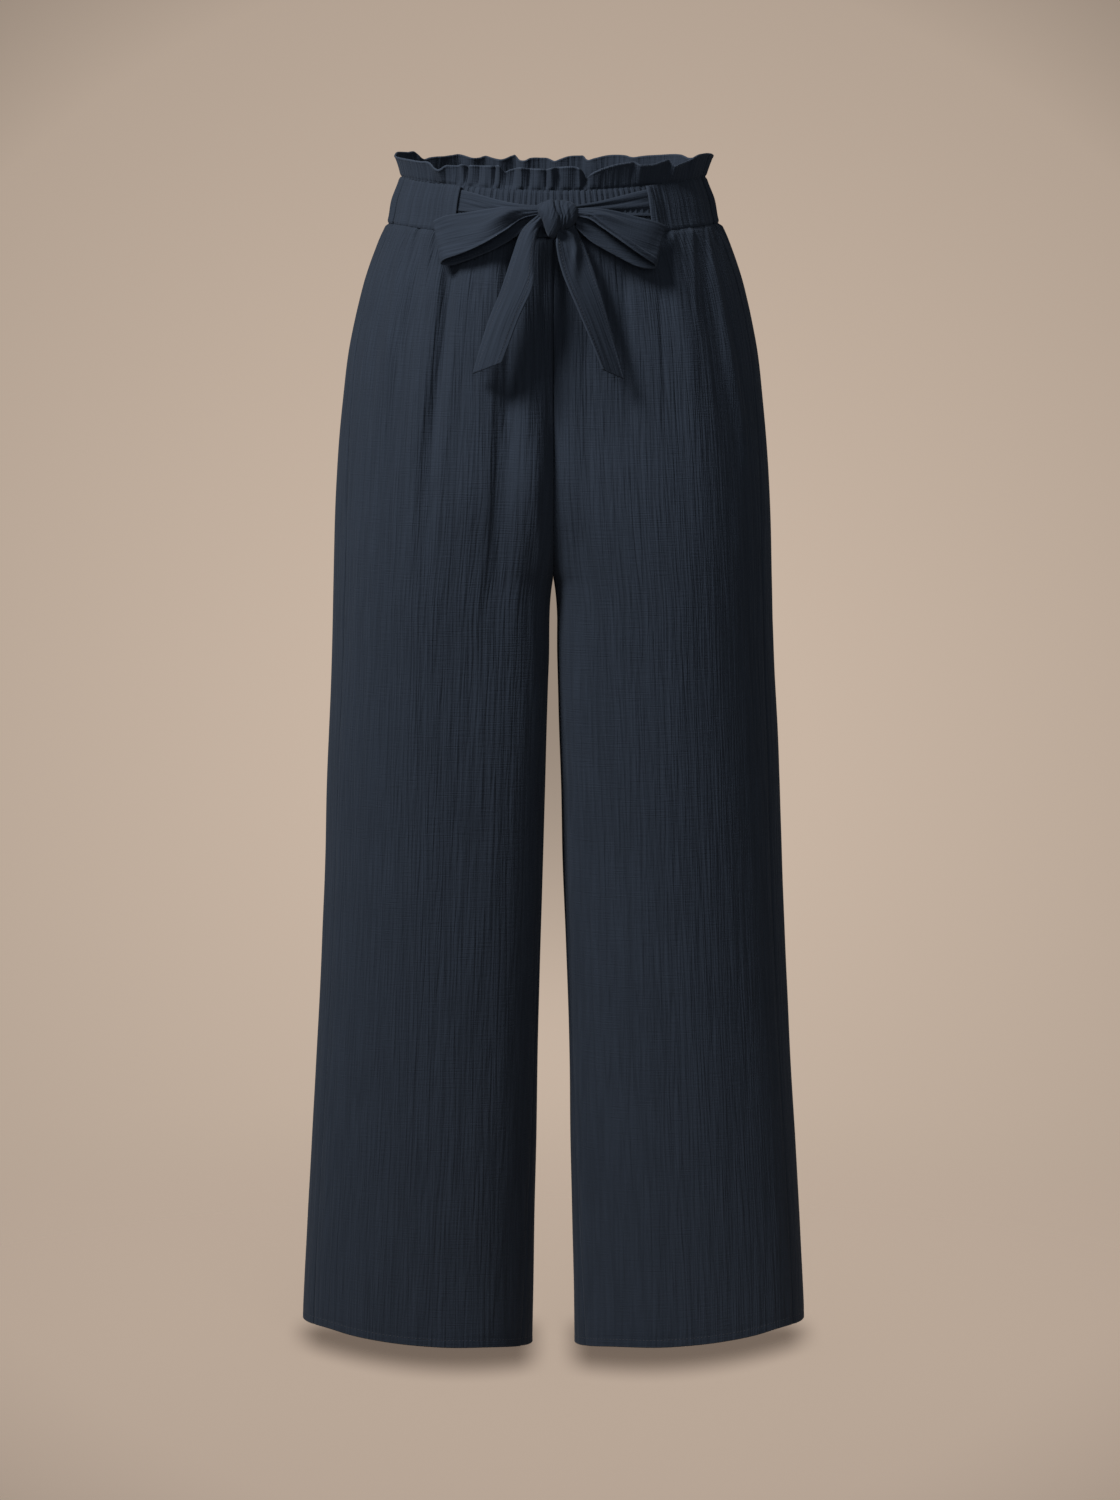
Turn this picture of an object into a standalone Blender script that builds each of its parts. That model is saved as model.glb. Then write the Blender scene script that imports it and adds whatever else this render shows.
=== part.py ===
"""Paperbag waist trousers, hollow as worn: leg panels, waistband, ruffle and a tied bow.

Every size is in millimetres until a mesh is written in metres. The front faces -Y, +Z is up and +X is
the right-hand side seen from the front. The origin is the middle of the waist, level with the seam that
joins the ruffle to the waistband at the sides. Each piece of cloth is a closed wall between an outer
grid of points and an inner one, and two pieces that are sewn together stay SEAM apart.
"""
import bpy
import numpy as np

# ---------------------------------------------------------------- driving sizes, millimetres
MM = 0.001
SEAM = 0.3              # gap between two pieces at a seam
SEAM_TURN = 0.0020      # half of that gap at a side seam, as a place round the waist
CLOTH = 2.0             # wall of the leg panels
BAND_CLOTH = 1.7        # wall of the waistband, without its gathers
THIN = 1.6              # wall of the ruffle and the tie
BAND_HEIGHT = 40.0      # waistband, top seam to bottom seam
RUFFLE_HEIGHT = 19.5    # ruffle, above the waistband
FRONT_DIP = 11.6        # the waist is this much lower at the centre front than at the sides
BACK_DIP = 3.0          # and this much lower at the centre back
RISE_LEVEL = -346.0     # where the two legs part
PARTING_START = -60.0   # where a valley begins down the centre seams, that curves in to the crotch
CROTCH_START = -230.0   # the folds keep their places from here down
CROTCH_REACH = 0.6      # share of the half's width that the valley reaches out to
CORNER_HIGH = 0.24      # power of the oval at its inner side above the crotch: 0.5 is round, less is square
CORNER_LOW = 0.36       # the same on the leg, from CORNER_SPAN under the crotch
CORNER_SPAN = 250.0
CLOSE = 0.01            # levels nearer than this are the same
SWELL = 13.0            # how far the left leg's front swells forward near its inner side
SWELL_START = -150.0    # and the level where that begins
SWELL_SPAN = 180.0      # height that it grows over
SWELL_WAY = 0.10        # share of the way across the leg where it is fullest
SWELL_REACH = 0.30      # and the share where it has died to a third on either side
SWELL_INNER = 20.0      # it is none at the inner side, and grows over this distance from there
SWELL_FRONT = (10.0, 50.0)      # distance in front of the leg's middle where it begins, and grows over
HOLLOW = 15.0           # depth of the hollow under the bow, down the centre front
HOLLOW_REACH = 27.0     # distance from the centre where it has died to a third
HOLLOW_TOP = (-48.0, 50.0)     # level where it begins, and the height that it grows over
HOLLOW_FOOT = (-190.0, 110.0)  # level where it begins to fade, and the height that it fades over
HEM_LEVEL = -1020.5     # mean level of the hems
HEM_START = -850.0      # the slant of the hem dies out up to here
# share of the way across a leg from its inner side, height of the hem there
HEM_LINE = [(0.0, -12.5), (0.14, -7.7), (0.39, -4.3), (0.64, 0.8), (0.77, 4.9), (0.90, 10.3), (1.0, 12.0)]
SIDE_SEAM = -0.15       # place of the side seam round a half, 0 at the side and -1 at the centre front
SIDE = 1.0 + SIDE_SEAM  # the same place round the waist, 0 at centre front and 1 at the side
INSEAM_TURN = 0.14      # how far the inseam has come round to the front at the hem, round a half
INSEAM_BEND = 1.6       # power of the way down the leg that it follows
SLOT = 0.389            # place round the waist of the slot that the tie comes out of
TUCK = 0.043            # how far the gathered middle of the band runs on behind the slot's edge
SLOT_LIFT = 5.7         # the slot's edge stands this proud, over the tie
LIFT_SPAN = 0.13        # the lift dies out over this much of the way round
WAIST_TURN = 30.0       # the panels' walls are upright at the waistband, and tilt freely this far below
STEP_ROUND = 0.01       # steps that the wall's tilt is measured over: round a half
STEP_DOWN = 0.5         # and down it
SEAM_PLANE = (0.01, 0.05)       # shares of the half's width where a wall leaves the centre seam's direction
CENTRE_CALM = (0.6, 0.3)        # place round a half where folds die out under the crotch, and over how much

# Whole body, waist to crotch: level, half width, depth in front, depth behind
BODY = np.array([
    [25.0, 132.5, 90.0, 94.0],
    [0.0, 132.8, 90.0, 94.0],
    [-20.0, 139.4, 94.0, 97.0],
    [-40.0, 144.2, 98.0, 101.0],
    [-55.0, 151.2, 101.0, 105.0],
    [-72.0, 158.2, 104.0, 109.0],
    [-90.0, 164.5, 107.0, 113.0],
    [-107.0, 169.0, 109.0, 116.0],
    [-142.0, 176.7, 112.0, 121.0],
    [-195.0, 183.4, 113.0, 127.0],
    [-247.0, 188.0, 112.0, 129.0],
    [-300.0, 190.8, 109.0, 126.0],
    [-346.0, 192.0, 104.0, 120.0],
    [-1040.0, 192.0, 104.0, 120.0],
])

# One leg, crotch to hem: level, inner side, outer side, depth in front, depth behind
LEG = np.array([
    [25.0, 0.0, 192.0, 104.0, 113.0],
    [-346.0, 0.0, 192.0, 102.0, 111.0],
    [-356.0, 1.5, 192.3, 101.5, 110.0],
    [-423.0, 3.7, 194.3, 97.0, 105.0],
    [-503.0, 6.2, 198.0, 92.0, 99.0],
    [-636.0, 9.8, 202.7, 84.5, 90.0],
    [-744.0, 13.3, 207.9, 79.0, 83.0],
    [-851.0, 15.1, 214.2, 74.0, 77.0],
    [-933.0, 16.9, 219.4, 71.0, 72.5],
    [-1000.0, 18.2, 222.8, 68.0, 68.0],
    [-1040.0, 18.6, 223.6, 67.5, 67.5],
])

# Fold lines that run down from the waistband, from the centre front round to the centre back:
# distance from the centre plane under the waistband, the same 200 lower, level where it has died away,
# height (a ridge is above 0, a furrow below), and 1 for the front panel or 2 for the back one
FOLDS = {
    "left": [
        (0.0, 0.0, -420.0, 0.0, 1),
        (30.0, 35.0, -460.0, 0.4, 1),
        (46.0, 54.0, -460.0, -5.4, 1),
        (68.0, 77.0, -440.0, 3.2, 1),
        (80.0, 90.0, -400.0, 2.4, 1),
        (90.0, 102.0, -360.0, 3.2, 1),
        (99.0, 112.0, -380.0, -3.6, 1),
        (108.0, 123.0, -340.0, 2.6, 1),
        (118.5, 144.0, -320.0, -1.6, 1),
        (127.0, 158.0, -300.0, 1.4, 1),
        (134.0, 171.0, -260.0, -1.4, 1),
        (142.0, 178.0, -300.0, 1.6, 2),
        (132.0, 163.0, -300.0, -2.4, 2),
        (119.0, 144.0, -330.0, 2.6, 2),
        (104.0, 122.0, -350.0, -3.0, 2),
        (86.0, 100.0, -380.0, 3.2, 2),
        (67.0, 76.0, -360.0, -3.2, 2),
        (46.0, 51.0, -390.0, 3.0, 2),
        (24.0, 26.0, -360.0, -2.6, 2),
        (0.0, 0.0, -420.0, -0.8, 2),
    ],
    "right": [
        (0.0, 0.0, -420.0, 0.0, 1),
        (36.0, 50.0, -420.0, 2.4, 1),
        (52.0, 71.0, -360.0, -2.8, 1),
        (74.0, 84.0, -340.0, 1.4, 1),
        (89.0, 103.0, -340.0, -2.8, 1),
        (101.0, 130.0, -380.0, 2.8, 1),
        (115.0, 156.0, -340.0, -2.4, 1),
        (125.0, 169.0, -300.0, 1.4, 1),
        (135.0, 176.0, -260.0, -1.2, 1),
        (142.0, 178.0, -300.0, 1.6, 2),
        (131.0, 161.0, -310.0, -2.6, 2),
        (116.0, 139.0, -340.0, 2.8, 2),
        (99.0, 117.0, -360.0, -3.2, 2),
        (81.0, 93.0, -370.0, 3.0, 2),
        (63.0, 71.0, -380.0, -3.0, 2),
        (43.0, 47.0, -370.0, 3.2, 2),
        (21.0, 23.0, -390.0, -2.4, 2),
        (0.0, 0.0, -420.0, -0.8, 2),
    ],
}
FRONT, BACK = 1, 2      # the panel numbers
FOLD_SPAN = 200.0       # height between the two distances that a fold line is given by
FOLD_START = 0.3        # share of its height that a fold has right under the waistband
FOLD_GROWS = 50.0       # distance below the waistband where it has its full height
FOLD_FADES = 0.45       # share of its foot's level where it begins to die away

# Levels of the rows of points down a panel: the waist, the curved crotch and the leg
PANEL_LEVELS = [-BAND_HEIGHT - SEAM, -52.0, -66.0, -85.0, -110.0, -145.0, -185.0, CROTCH_START,
                -260.0, -288.0, -312.0, -330.5, -341.0, RISE_LEVEL,
                -358.0, -395.0, -460.0, -540.0, -640.0, -750.0, -860.0, -960.0, HEM_LEVEL]
SPREAD_START = -215.0   # the columns of points leave the fold lines here, and are even at the crotch

# ---------------------------------------------------------------- the tie
# Loop of the bow, from the knot out along its front and back along its rear: distance from the centre
# plane, level of the upper edge, level of the lower edge, and how far each edge stands off the body
LOOP_LEFT = [
    (13.4, -25.5, -31.5, 17.0, 17.5),
    (28.0, -25.0, -36.0, 17.0, 19.0),
    (42.0, -25.6, -46.3, 16.0, 20.0),
    (58.0, -27.6, -56.5, 15.0, 20.0),
    (76.0, -30.6, -64.3, 13.5, 18.0),
    (91.0, -33.4, -70.4, 12.5, 16.0),
    (99.5, -36.2, -73.4, 11.5, 13.5),
    (102.5, -38.0, -74.6, 9.5, 10.5),
    (99.0, -39.0, -75.2, 8.2, 8.2),
    (90.0, -38.5, -74.0, 8.2, 7.2),
    (76.0, -37.0, -70.5, 8.4, 6.8),
    (58.0, -35.5, -64.4, 8.2, 6.8),
    (42.0, -34.0, -56.8, 9.0, 8.0),
    (28.0, -32.0, -47.8, 11.0, 10.5),
    (13.4, -29.5, -37.0, 13.2, 13.4),
]
LOOP_RIGHT = [
    (21.4, -26.5, -33.0, 17.0, 17.5),
    (31.5, -26.4, -36.5, 17.0, 18.5),
    (42.0, -27.2, -43.5, 16.0, 19.0),
    (56.0, -29.6, -53.8, 15.0, 19.5),
    (71.0, -33.8, -63.2, 13.5, 18.0),
    (84.0, -37.4, -71.0, 12.5, 16.0),
    (92.5, -40.2, -75.0, 11.5, 13.5),
    (95.8, -42.0, -77.0, 9.5, 10.5),
    (91.5, -43.0, -78.2, 8.2, 8.2),
    (82.0, -42.0, -78.6, 8.2, 7.2),
    (70.0, -40.0, -75.4, 8.4, 6.8),
    (57.0, -38.0, -69.3, 8.2, 6.8),
    (44.0, -36.0, -62.4, 9.0, 8.0),
    (31.5, -34.0, -54.8, 11.0, 10.5),
    (21.4, -31.5, -44.0, 13.2, 13.4),
]
# Tail of the tie, knot to end: distance and level of the left edge, of the right edge, and how far the
# tail stands off the body
TAIL_LEFT = [
    (-14.2, -36.6, -11.4, -42.3, 15.4),
    (-28.4, -47.2, -14.4, -58.0, 16.0),
    (-36.8, -67.0, -16.2, -75.0, 15.0),
    (-46.6, -97.4, -17.4, -96.0, 12.0),
    (-57.0, -125.2, -28.7, -120.1, 9.0),
    (-69.3, -167.7, -42.8, -157.5, 7.0),
]
TAIL_RIGHT = [
    (4.0, -48.9, 19.0, -42.9, 14.2),
    (2.6, -62.3, 28.3, -60.0, 11.0),
    (8.4, -84.4, 36.6, -84.0, 9.0),
    (20.7, -114.1, 46.0, -115.0, 8.0),
    (30.9, -139.0, 54.0, -142.0, 7.0),
    (40.8, -163.5, 62.1, -172.9, 6.5),
]
# Tie between its slot and the knot: distance, level of the upper edge, of the lower edge, stand-off
TIE_LEFT = [(84.0, -11.5, -32.8, 2.7), (70.0, -14.0, -32.6, 2.8), (48.0, -19.6, -31.4, 3.0),
            (28.0, -23.4, -30.2, 6.0), (13.4, -24.4, -29.2, 9.8)]
TIE_RIGHT = [(85.0, -11.0, -34.0, 2.7), (72.0, -13.6, -33.6, 2.8), (52.0, -18.0, -32.6, 3.0),
             (36.0, -21.8, -31.2, 6.0), (21.4, -24.6, -30.4, 9.8)]
# Knot: place across, level of its top and of its bottom, half its thickness front to back
KNOT = [(-12.8, -26.0, -36.0, 5.0), (-11.0, -23.5, -41.5, 8.0), (-7.0, -21.4, -47.5, 10.4),
        (-2.0, -20.2, -50.6, 11.4), (2.0, -20.0, -48.6, 10.6), (7.0, -20.2, -47.6, 12.0),
        (13.0, -21.6, -45.4, 11.4), (18.0, -24.0, -42.8, 8.6), (20.8, -27.0, -39.6, 5.0)]
KNOT_STAND_OFF = 15.4   # middle of the knot in front of the body's smooth form
TIE_BELLY = 0.2         # how far the middle of each strip arches off the body
TAIL_BELLY = 2.6

# ---------------------------------------------------------------- gathers and ruffle
FRONT_GATHERS = 29      # gathers of the middle of the waistband, between the slots
BACK_GATHERS = 48       # gathers of the back waistband
GATHER_DEPTH = 1.2
RUFFLE_WAVES = 35       # waves of the ruffle's top edge, all round the waist
WAVE_SIZE = 2.5         # how far the top edge swings in and out
SIDE_SWING = 1.2        # more of it at the sides
FLARE = 0.6             # how far the top edge leans out
SIDE_FLARE = 4.6        # more of it at the sides


# ---------------------------------------------------------------- curves and forms
def curve_through(knots, values, at):
    """Smooth curve through (knots, values), read at any array of places, flat beyond its ends."""
    knots = np.asarray(knots, float)
    values = np.asarray(values, float)
    step = np.diff(knots)
    rise = np.diff(values) / step
    inner = (rise[:-1] * step[1:] + rise[1:] * step[:-1]) / (step[:-1] + step[1:])
    slope = np.concatenate([[rise[0]], inner, [rise[-1]]])
    place = np.clip(at, knots[0], knots[-1])
    piece = np.clip(np.searchsorted(knots, place) - 1, 0, len(step) - 1)
    width = step[piece]
    t = (place - knots[piece]) / width
    return ((1 + 2 * t) * (1 - t) ** 2 * values[piece] + t * (1 - t) ** 2 * width * slope[piece]
            + t * t * (3 - 2 * t) * values[piece + 1] + t * t * (t - 1) * width * slope[piece + 1])


def from_table(table, column, level):
    """One column of a table whose first column is a falling level."""
    return curve_through(table[::-1, 0], table[::-1, column], level)


def ease(t):
    """0 before 0, 1 after 1, with a soft start and end between them."""
    t = np.clip(t, 0.0, 1.0)
    return t * t * (3.0 - 2.0 * t)


def crotch_share(u, level):
    """0 where the section is half the body's oval, 1 where it is the leg's own oval.

    At the centre it follows a quarter round, so the centre seams curve under to the crotch. Further out
    it eases down evenly, so the thigh has no step.
    """
    drop = np.clip((PARTING_START - level) / (PARTING_START - RISE_LEVEL), 0.0, 1.0)
    at_centre = 1.0 - np.sqrt(1.0 - drop * drop)
    further_out = ease(np.abs(np.cos(np.pi * u / 2)) / CROTCH_REACH)
    return at_centre + (ease(drop) - at_centre) * further_out


def outer_width(level):
    """Half width of the body, and below it the outer side of a leg."""
    return np.where(level > RISE_LEVEL, from_table(BODY, 1, level), from_table(LEG, 2, level))


def part_way(u, level):
    """Share of the half's width at a place: 0 at the centre or the inseam, 1 at the outer side."""
    return np.abs(np.cos(np.pi * u / 2)) ** (1.0 + crotch_share(u, level))


def place_of(way, level):
    """Place round the half, without its sign, of a share of the width, by repeated correction."""
    sine = way
    for _ in range(12):
        share = crotch_share(2.0 / np.pi * np.arccos(sine), level)
        sine = 0.5 * sine + 0.5 * way ** (1.0 / (1.0 + share))
    return 2.0 / np.pi * np.arccos(sine)


def half_body(u, level):
    """Smooth outer form of one half, without folds, as distance from the centre plane and y.

    u runs round the half: -1 at the centre front or the inseam, 0 at the side, 1 at the centre back.
    A point's share of the half's width is the sine of its turn from the centre on the body's oval, and
    that sine squared on the leg's oval. Between the two the power and the depth change together. The
    leg's oval is squarer at its inner side.
    """
    share = crotch_share(u, level)
    across = part_way(u, level)
    body_depth = np.where(u < 0, -from_table(BODY, 2, level), from_table(BODY, 3, level))
    leg_depth = np.where(np.sin(np.pi * u) < 0, -from_table(LEG, 3, level), from_table(LEG, 4, level))
    body_y = body_depth * np.sqrt(np.maximum(1.0 - across * across, 0.0))
    inner_corner = CORNER_HIGH + (CORNER_LOW - CORNER_HIGH) * ease((RISE_LEVEL - level) / CORNER_SPAN)
    corner = np.where(across < 0.5, inner_corner, 0.5)
    leg_y = leg_depth * np.maximum(4.0 * across * (1.0 - across), 0.0) ** corner
    inner = from_table(LEG, 1, level)
    body_x = from_table(BODY, 1, level) * across
    leg_x = inner + (outer_width(level) - inner) * across
    return SEAM / 2 + body_x + share * (leg_x - body_x), body_y + share * (leg_y - body_y)


def unit(vectors):
    """Vectors of length 1."""
    return vectors / np.linalg.norm(vectors, axis=-1, keepdims=True)


def outward(u, level):
    """Unit vector out of the half's smooth form: level at the waistband, and straight along y at a seam
    on the centre plane, so that the two halves stay together there."""
    du, dz = STEP_ROUND, STEP_DOWN
    wraps = crotch_share(u, level) >= 1.0
    ahead = np.where(wraps, u + du, np.minimum(u + du, 1.0))
    behind = np.where(wraps, u - du, np.maximum(u - du, -1.0))
    x1, y1 = half_body(ahead, level)
    x0, y0 = half_body(behind, level)
    xb, yb = half_body(u, level + dz)
    xa, ya = half_body(u, level - dz)
    round_way = np.stack([x1 - x0, y1 - y0, np.zeros_like(x1)], -1)
    up_way = np.stack([xb - xa, yb - ya, np.full_like(xa, 2 * dz)], -1)
    out = unit(np.cross(round_way, up_way))
    facing = np.where(u < 0, -1.0, 1.0)
    on_plane = unit(np.stack([0.0 * x1, facing * up_way[..., 2], -facing * up_way[..., 1]], -1))
    from_centre = np.abs(np.cos(np.pi * u / 2))
    away = ease((from_centre - SEAM_PLANE[0]) / SEAM_PLANE[1])
    at_seam = np.where(level > RISE_LEVEL + CLOSE, 1.0 - away, 0.0)
    out += (on_plane - out) * at_seam[..., None]
    out[..., 2] *= ease((-BAND_HEIGHT - FRONT_DIP - level) / WAIST_TURN)
    return unit(out)


def waist_dip(u):
    """How far the waist seams lie under their level at the sides."""
    return -np.where(u < 0, FRONT_DIP, BACK_DIP) * np.sin(np.pi * u / 2) ** 2


def hem_shift(u):
    """Height of the hem round a leg: it falls from the outer side to the inner one."""
    return curve_through([row[0] for row in HEM_LINE], [row[1] for row in HEM_LINE], np.cos(np.pi * u / 2) ** 2)


def true_level(u, nominal):
    """Level of a point on a row: the dip of the waist and of the hem die out along the panel."""
    near_waist = ease((nominal - CROTCH_START) / (-BAND_HEIGHT - CROTCH_START))
    near_hem = ease((nominal - HEM_START) / (HEM_LEVEL - HEM_START))
    return nominal + waist_dip(u) * near_waist + hem_shift(u) * near_hem


def fold_places(side, level):
    """Place on the body's oval of each fold line of a side, one array for each line, at any levels."""
    places = []
    line_level = np.maximum(level, CROTCH_START)
    for at_waist, lower, _, _, panel in FOLDS[side]:
        across = at_waist + (lower - at_waist) * np.clip((-BAND_HEIGHT - line_level) / FOLD_SPAN, 0.0, 1.0)
        turn = 2.0 / np.pi * np.arccos(np.clip(across / from_table(BODY, 1, line_level), 0.0, 0.999))
        places.append(-turn if panel == FRONT else turn)
    return places


def fold_height(side, u, level):
    """Height of the folds: it eases from line to line round the half, and is none at the inseam.

    The lines keep their share of the way across, so they run straight down past the parting.
    """
    line_u = np.sign(u) * 2.0 / np.pi * np.arccos(np.clip(part_way(u, level), 0.0, 1.0))
    places = fold_places(side, level)
    grow = FOLD_START + (1.0 - FOLD_START) * ease((-BAND_HEIGHT - level) / FOLD_GROWS)
    heights = []
    for _, _, foot, height, _ in FOLDS[side]:
        fading = foot * FOLD_FADES
        heights.append(height * grow * (1.0 - ease((level - fading) / (foot - fading))))
    total = heights[0]
    for n in range(len(places) - 1):
        between = (line_u - places[n]) / (places[n + 1] - places[n])
        total = total + (heights[n + 1] - heights[n]) * ease(between)
    under = ease((CROTCH_START - level) / (CROTCH_START - RISE_LEVEL))
    near_centre = ease((np.abs(u) - CENTRE_CALM[0]) / CENTRE_CALM[1])
    return total * (1.0 - under * near_centre)


def swell(side, which, x, y, level):
    """How far the left leg's front stands forward near its inner side, where the cloth hangs fuller."""
    if side == "right" or which == BACK:
        return np.zeros_like(x)
    inner = from_table(LEG, 1, level)
    way = (x - inner) / (outer_width(level) - inner)
    bell = np.exp(-((way - SWELL_WAY) / SWELL_REACH) ** 2) * ease((x - inner) / SWELL_INNER)
    in_front = ease((-y - SWELL_FRONT[0]) / SWELL_FRONT[1])
    return SWELL * bell * in_front * ease((SWELL_START - level) / SWELL_SPAN)


def hollow(which, x, level):
    """Depth of the hollow that the tie draws in under the bow."""
    if which == BACK:
        return np.zeros_like(x)
    grown = ease((HOLLOW_TOP[0] - level) / HOLLOW_TOP[1])
    faded = ease((HOLLOW_FOOT[0] - level) / HOLLOW_FOOT[1])
    return HOLLOW * np.exp(-(x / HOLLOW_REACH) ** 2) * grown * (1.0 - faded)


def body_front(across, level):
    """y of the body's oval in front, at a distance from the centre plane and a level."""
    way = np.clip(np.abs(across) / from_table(BODY, 1, level), 0.0, 0.999)
    return -from_table(BODY, 2, level) * np.sqrt(1.0 - way * way)


# ---------------------------------------------------------------- meshes
def material(name, colour, roughness):
    """Matt woven cloth of one colour."""
    cloth = bpy.data.materials.new(name)
    cloth.use_nodes = True
    shader = cloth.node_tree.nodes["Principled BSDF"]
    shader.inputs["Base Color"].default_value = (*colour, 1.0)
    shader.inputs["Roughness"].default_value = roughness
    shader.inputs["Metallic"].default_value = 0.0
    return cloth


def closed_wall(name, outer, inner, cloth):
    """Closed solid between two grids of points, rows by columns, joined along their four edges."""
    rows, columns = outer.shape[:2]
    count = rows * columns
    points = np.concatenate([outer.reshape(-1, 3), inner.reshape(-1, 3)]) * MM
    index = np.arange(count).reshape(rows, columns)
    face = np.stack([index[:-1, :-1], index[:-1, 1:], index[1:, 1:], index[1:, :-1]], -1).reshape(-1, 4)
    rim = np.concatenate([index[0, :], index[1:, -1], index[-1, -2::-1], index[-2:0:-1, 0]])
    following = np.roll(rim, -1)
    edge = np.stack([following, rim, rim + count, following + count], -1)
    return solid(name, points, np.concatenate([face, face[:, ::-1] + count, edge]).tolist(), cloth)


def solid(name, points, faces, cloth):
    """Named object from points and faces, with its faces turned outward by the sign of its volume."""
    mesh = bpy.data.meshes.new(name)
    mesh.from_pydata(points.tolist(), [], faces)
    mesh.update()
    volume = 0.0
    for polygon in mesh.polygons:
        corners = [mesh.vertices[i].co for i in polygon.vertices]
        for n in range(1, len(corners) - 1):
            volume += corners[0].dot(corners[n].cross(corners[n + 1]))
    if volume < 0:
        mesh.flip_normals()
    mesh.materials.append(cloth)
    mesh.shade_smooth()
    piece = bpy.data.objects.new(name, mesh)
    bpy.context.collection.objects.link(piece)
    return piece


def mirrored(points, side):
    """Points of a half, given by their distance from the centre plane, put on their own side."""
    return points * np.array([1.0 if side == "right" else -1.0, 1.0, 1.0])


# ---------------------------------------------------------------- leg panels
def panel(side, which, cloth):
    """One leg panel: a column of points runs down each fold line, and spreads out towards the crotch."""
    lines = [n for n, row in enumerate(FOLDS[side]) if row[4] == which]
    steps = 2 * len(lines)
    nominal = np.array(PANEL_LEVELS)[:, None]
    turn = INSEAM_TURN * np.clip((RISE_LEVEL - nominal) / (RISE_LEVEL - HEM_LEVEL), 0.0, 1.0) ** INSEAM_BEND
    rows = nominal[:, 0]
    places = [np.sign(line) * place_of(np.cos(np.pi * line / 2), rows) for line in fold_places(side, rows)]
    if which == FRONT:
        ends = [places[n] for n in lines] + [np.full(len(nominal), SIDE_SEAM)]
        first, last = -1.0 + turn, SIDE_SEAM
    else:
        ends = [np.full(len(nominal), SIDE_SEAM)] + [places[n] for n in lines]
        first, last = SIDE_SEAM, 1.0 + turn
    share = np.linspace(0.0, 1.0, steps + 1)
    on_lines = np.array([np.interp(share * (len(ends) - 1), range(len(ends)), row)
                         for row in np.array(ends).T])
    even = first + (last - first) * share
    spread = ease((SPREAD_START - nominal) / (SPREAD_START - RISE_LEVEL))
    u = on_lines + (even - on_lines) * spread
    u[:, :1] = first if which == FRONT else SIDE_SEAM
    u[:, -1:] = SIDE_SEAM if which == FRONT else last

    level = true_level(u, nominal)
    x, y = half_body(u, level)
    out = outward(u, level)
    surface = np.stack([x, y, level], -1) + out * fold_height(side, u, level)[..., None]
    surface[..., 1] += hollow(which, x, level) - swell(side, which, x, y, level)
    along = unit(np.cross([0.0, 0.0, 1.0], out))
    seam_side = np.zeros_like(u)
    seam_side[:, 0] = 1.0
    seam_side[:, -1] = -1.0
    centre = 0 if which == FRONT else -1
    seam_side[:, centre] *= (nominal[:, 0] <= RISE_LEVEL)
    surface += along * (seam_side * SEAM / 2)[..., None]
    inner = surface - out * CLOTH
    for grid in (surface, inner):
        grid[..., 0] = np.maximum(grid[..., 0], SEAM / 2)
    name = ("front" if which == FRONT else "back") + "_panel_" + side
    return closed_wall(name, mirrored(surface, side), mirrored(inner, side), cloth)


# ---------------------------------------------------------------- waistband and ruffle
def waist_ring(place, drop, stand_off):
    """Points round the waist: place is 0 at centre front, 1 and 3 at the sides, 2 at centre back.

    drop is the distance under the upper seam, and stand_off the distance outside the smooth form. The
    three are arrays, or single numbers, that spread to one shape.
    """
    place, drop, stand_off = np.broadcast_arrays(place, drop, stand_off)
    turn = np.pi / 2 * place
    front = np.cos(turn) > 0
    dip = -np.where(front, FRONT_DIP, BACK_DIP) * np.cos(turn) ** 2
    level = dip - drop
    half_width = from_table(BODY, 1, level)
    depth = np.where(front, from_table(BODY, 2, level), from_table(BODY, 3, level))
    out = np.stack([np.sin(turn) * depth, -np.cos(turn) * half_width], -1)
    out /= np.linalg.norm(out, axis=-1, keepdims=True)
    x = half_width * np.sin(turn) + out[..., 0] * stand_off
    y = -depth * np.cos(turn) + out[..., 1] * stand_off
    return np.stack([x, y, level], -1)


def gathered_band(name, start, end, gathers, cloth):
    """Band whose outer face is raised in even gathers over a plain inner face."""
    place = np.linspace(start, end, 4 * gathers + 1)[None, :]
    drop = np.array([[SEAM], [BAND_HEIGHT]])
    count = (place - start) / (end - start) * gathers
    crest = GATHER_DEPTH * (0.5 - 0.5 * np.cos(2 * np.pi * count))
    outer = waist_ring(place, drop, crest)
    inner = waist_ring(place, drop, -BAND_CLOTH)
    return closed_wall(name, outer, inner, cloth)


def side_band(side, cloth):
    """Smooth part of the band: its front edge is the slot, and lifts clear of the tie under it."""
    flat_edge = 0.02
    lifted = np.linspace(SLOT, SLOT + flat_edge + LIFT_SPAN, 8)
    plain = np.linspace(SLOT + 0.2, SIDE - SEAM_TURN, 9)
    place = np.concatenate([lifted, plain])[None, :]
    drop = np.linspace(SEAM, BAND_HEIGHT, 3)[:, None]
    lift = SLOT_LIFT * (1.0 - ease((place - SLOT - flat_edge) / LIFT_SPAN))
    sign = 1.0 if side == "right" else -1.0
    outer = waist_ring(sign * place, drop, lift)
    inner = waist_ring(sign * place, drop, lift - BAND_CLOTH)
    return closed_wall("side_band_" + side, outer, inner, cloth)


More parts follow.
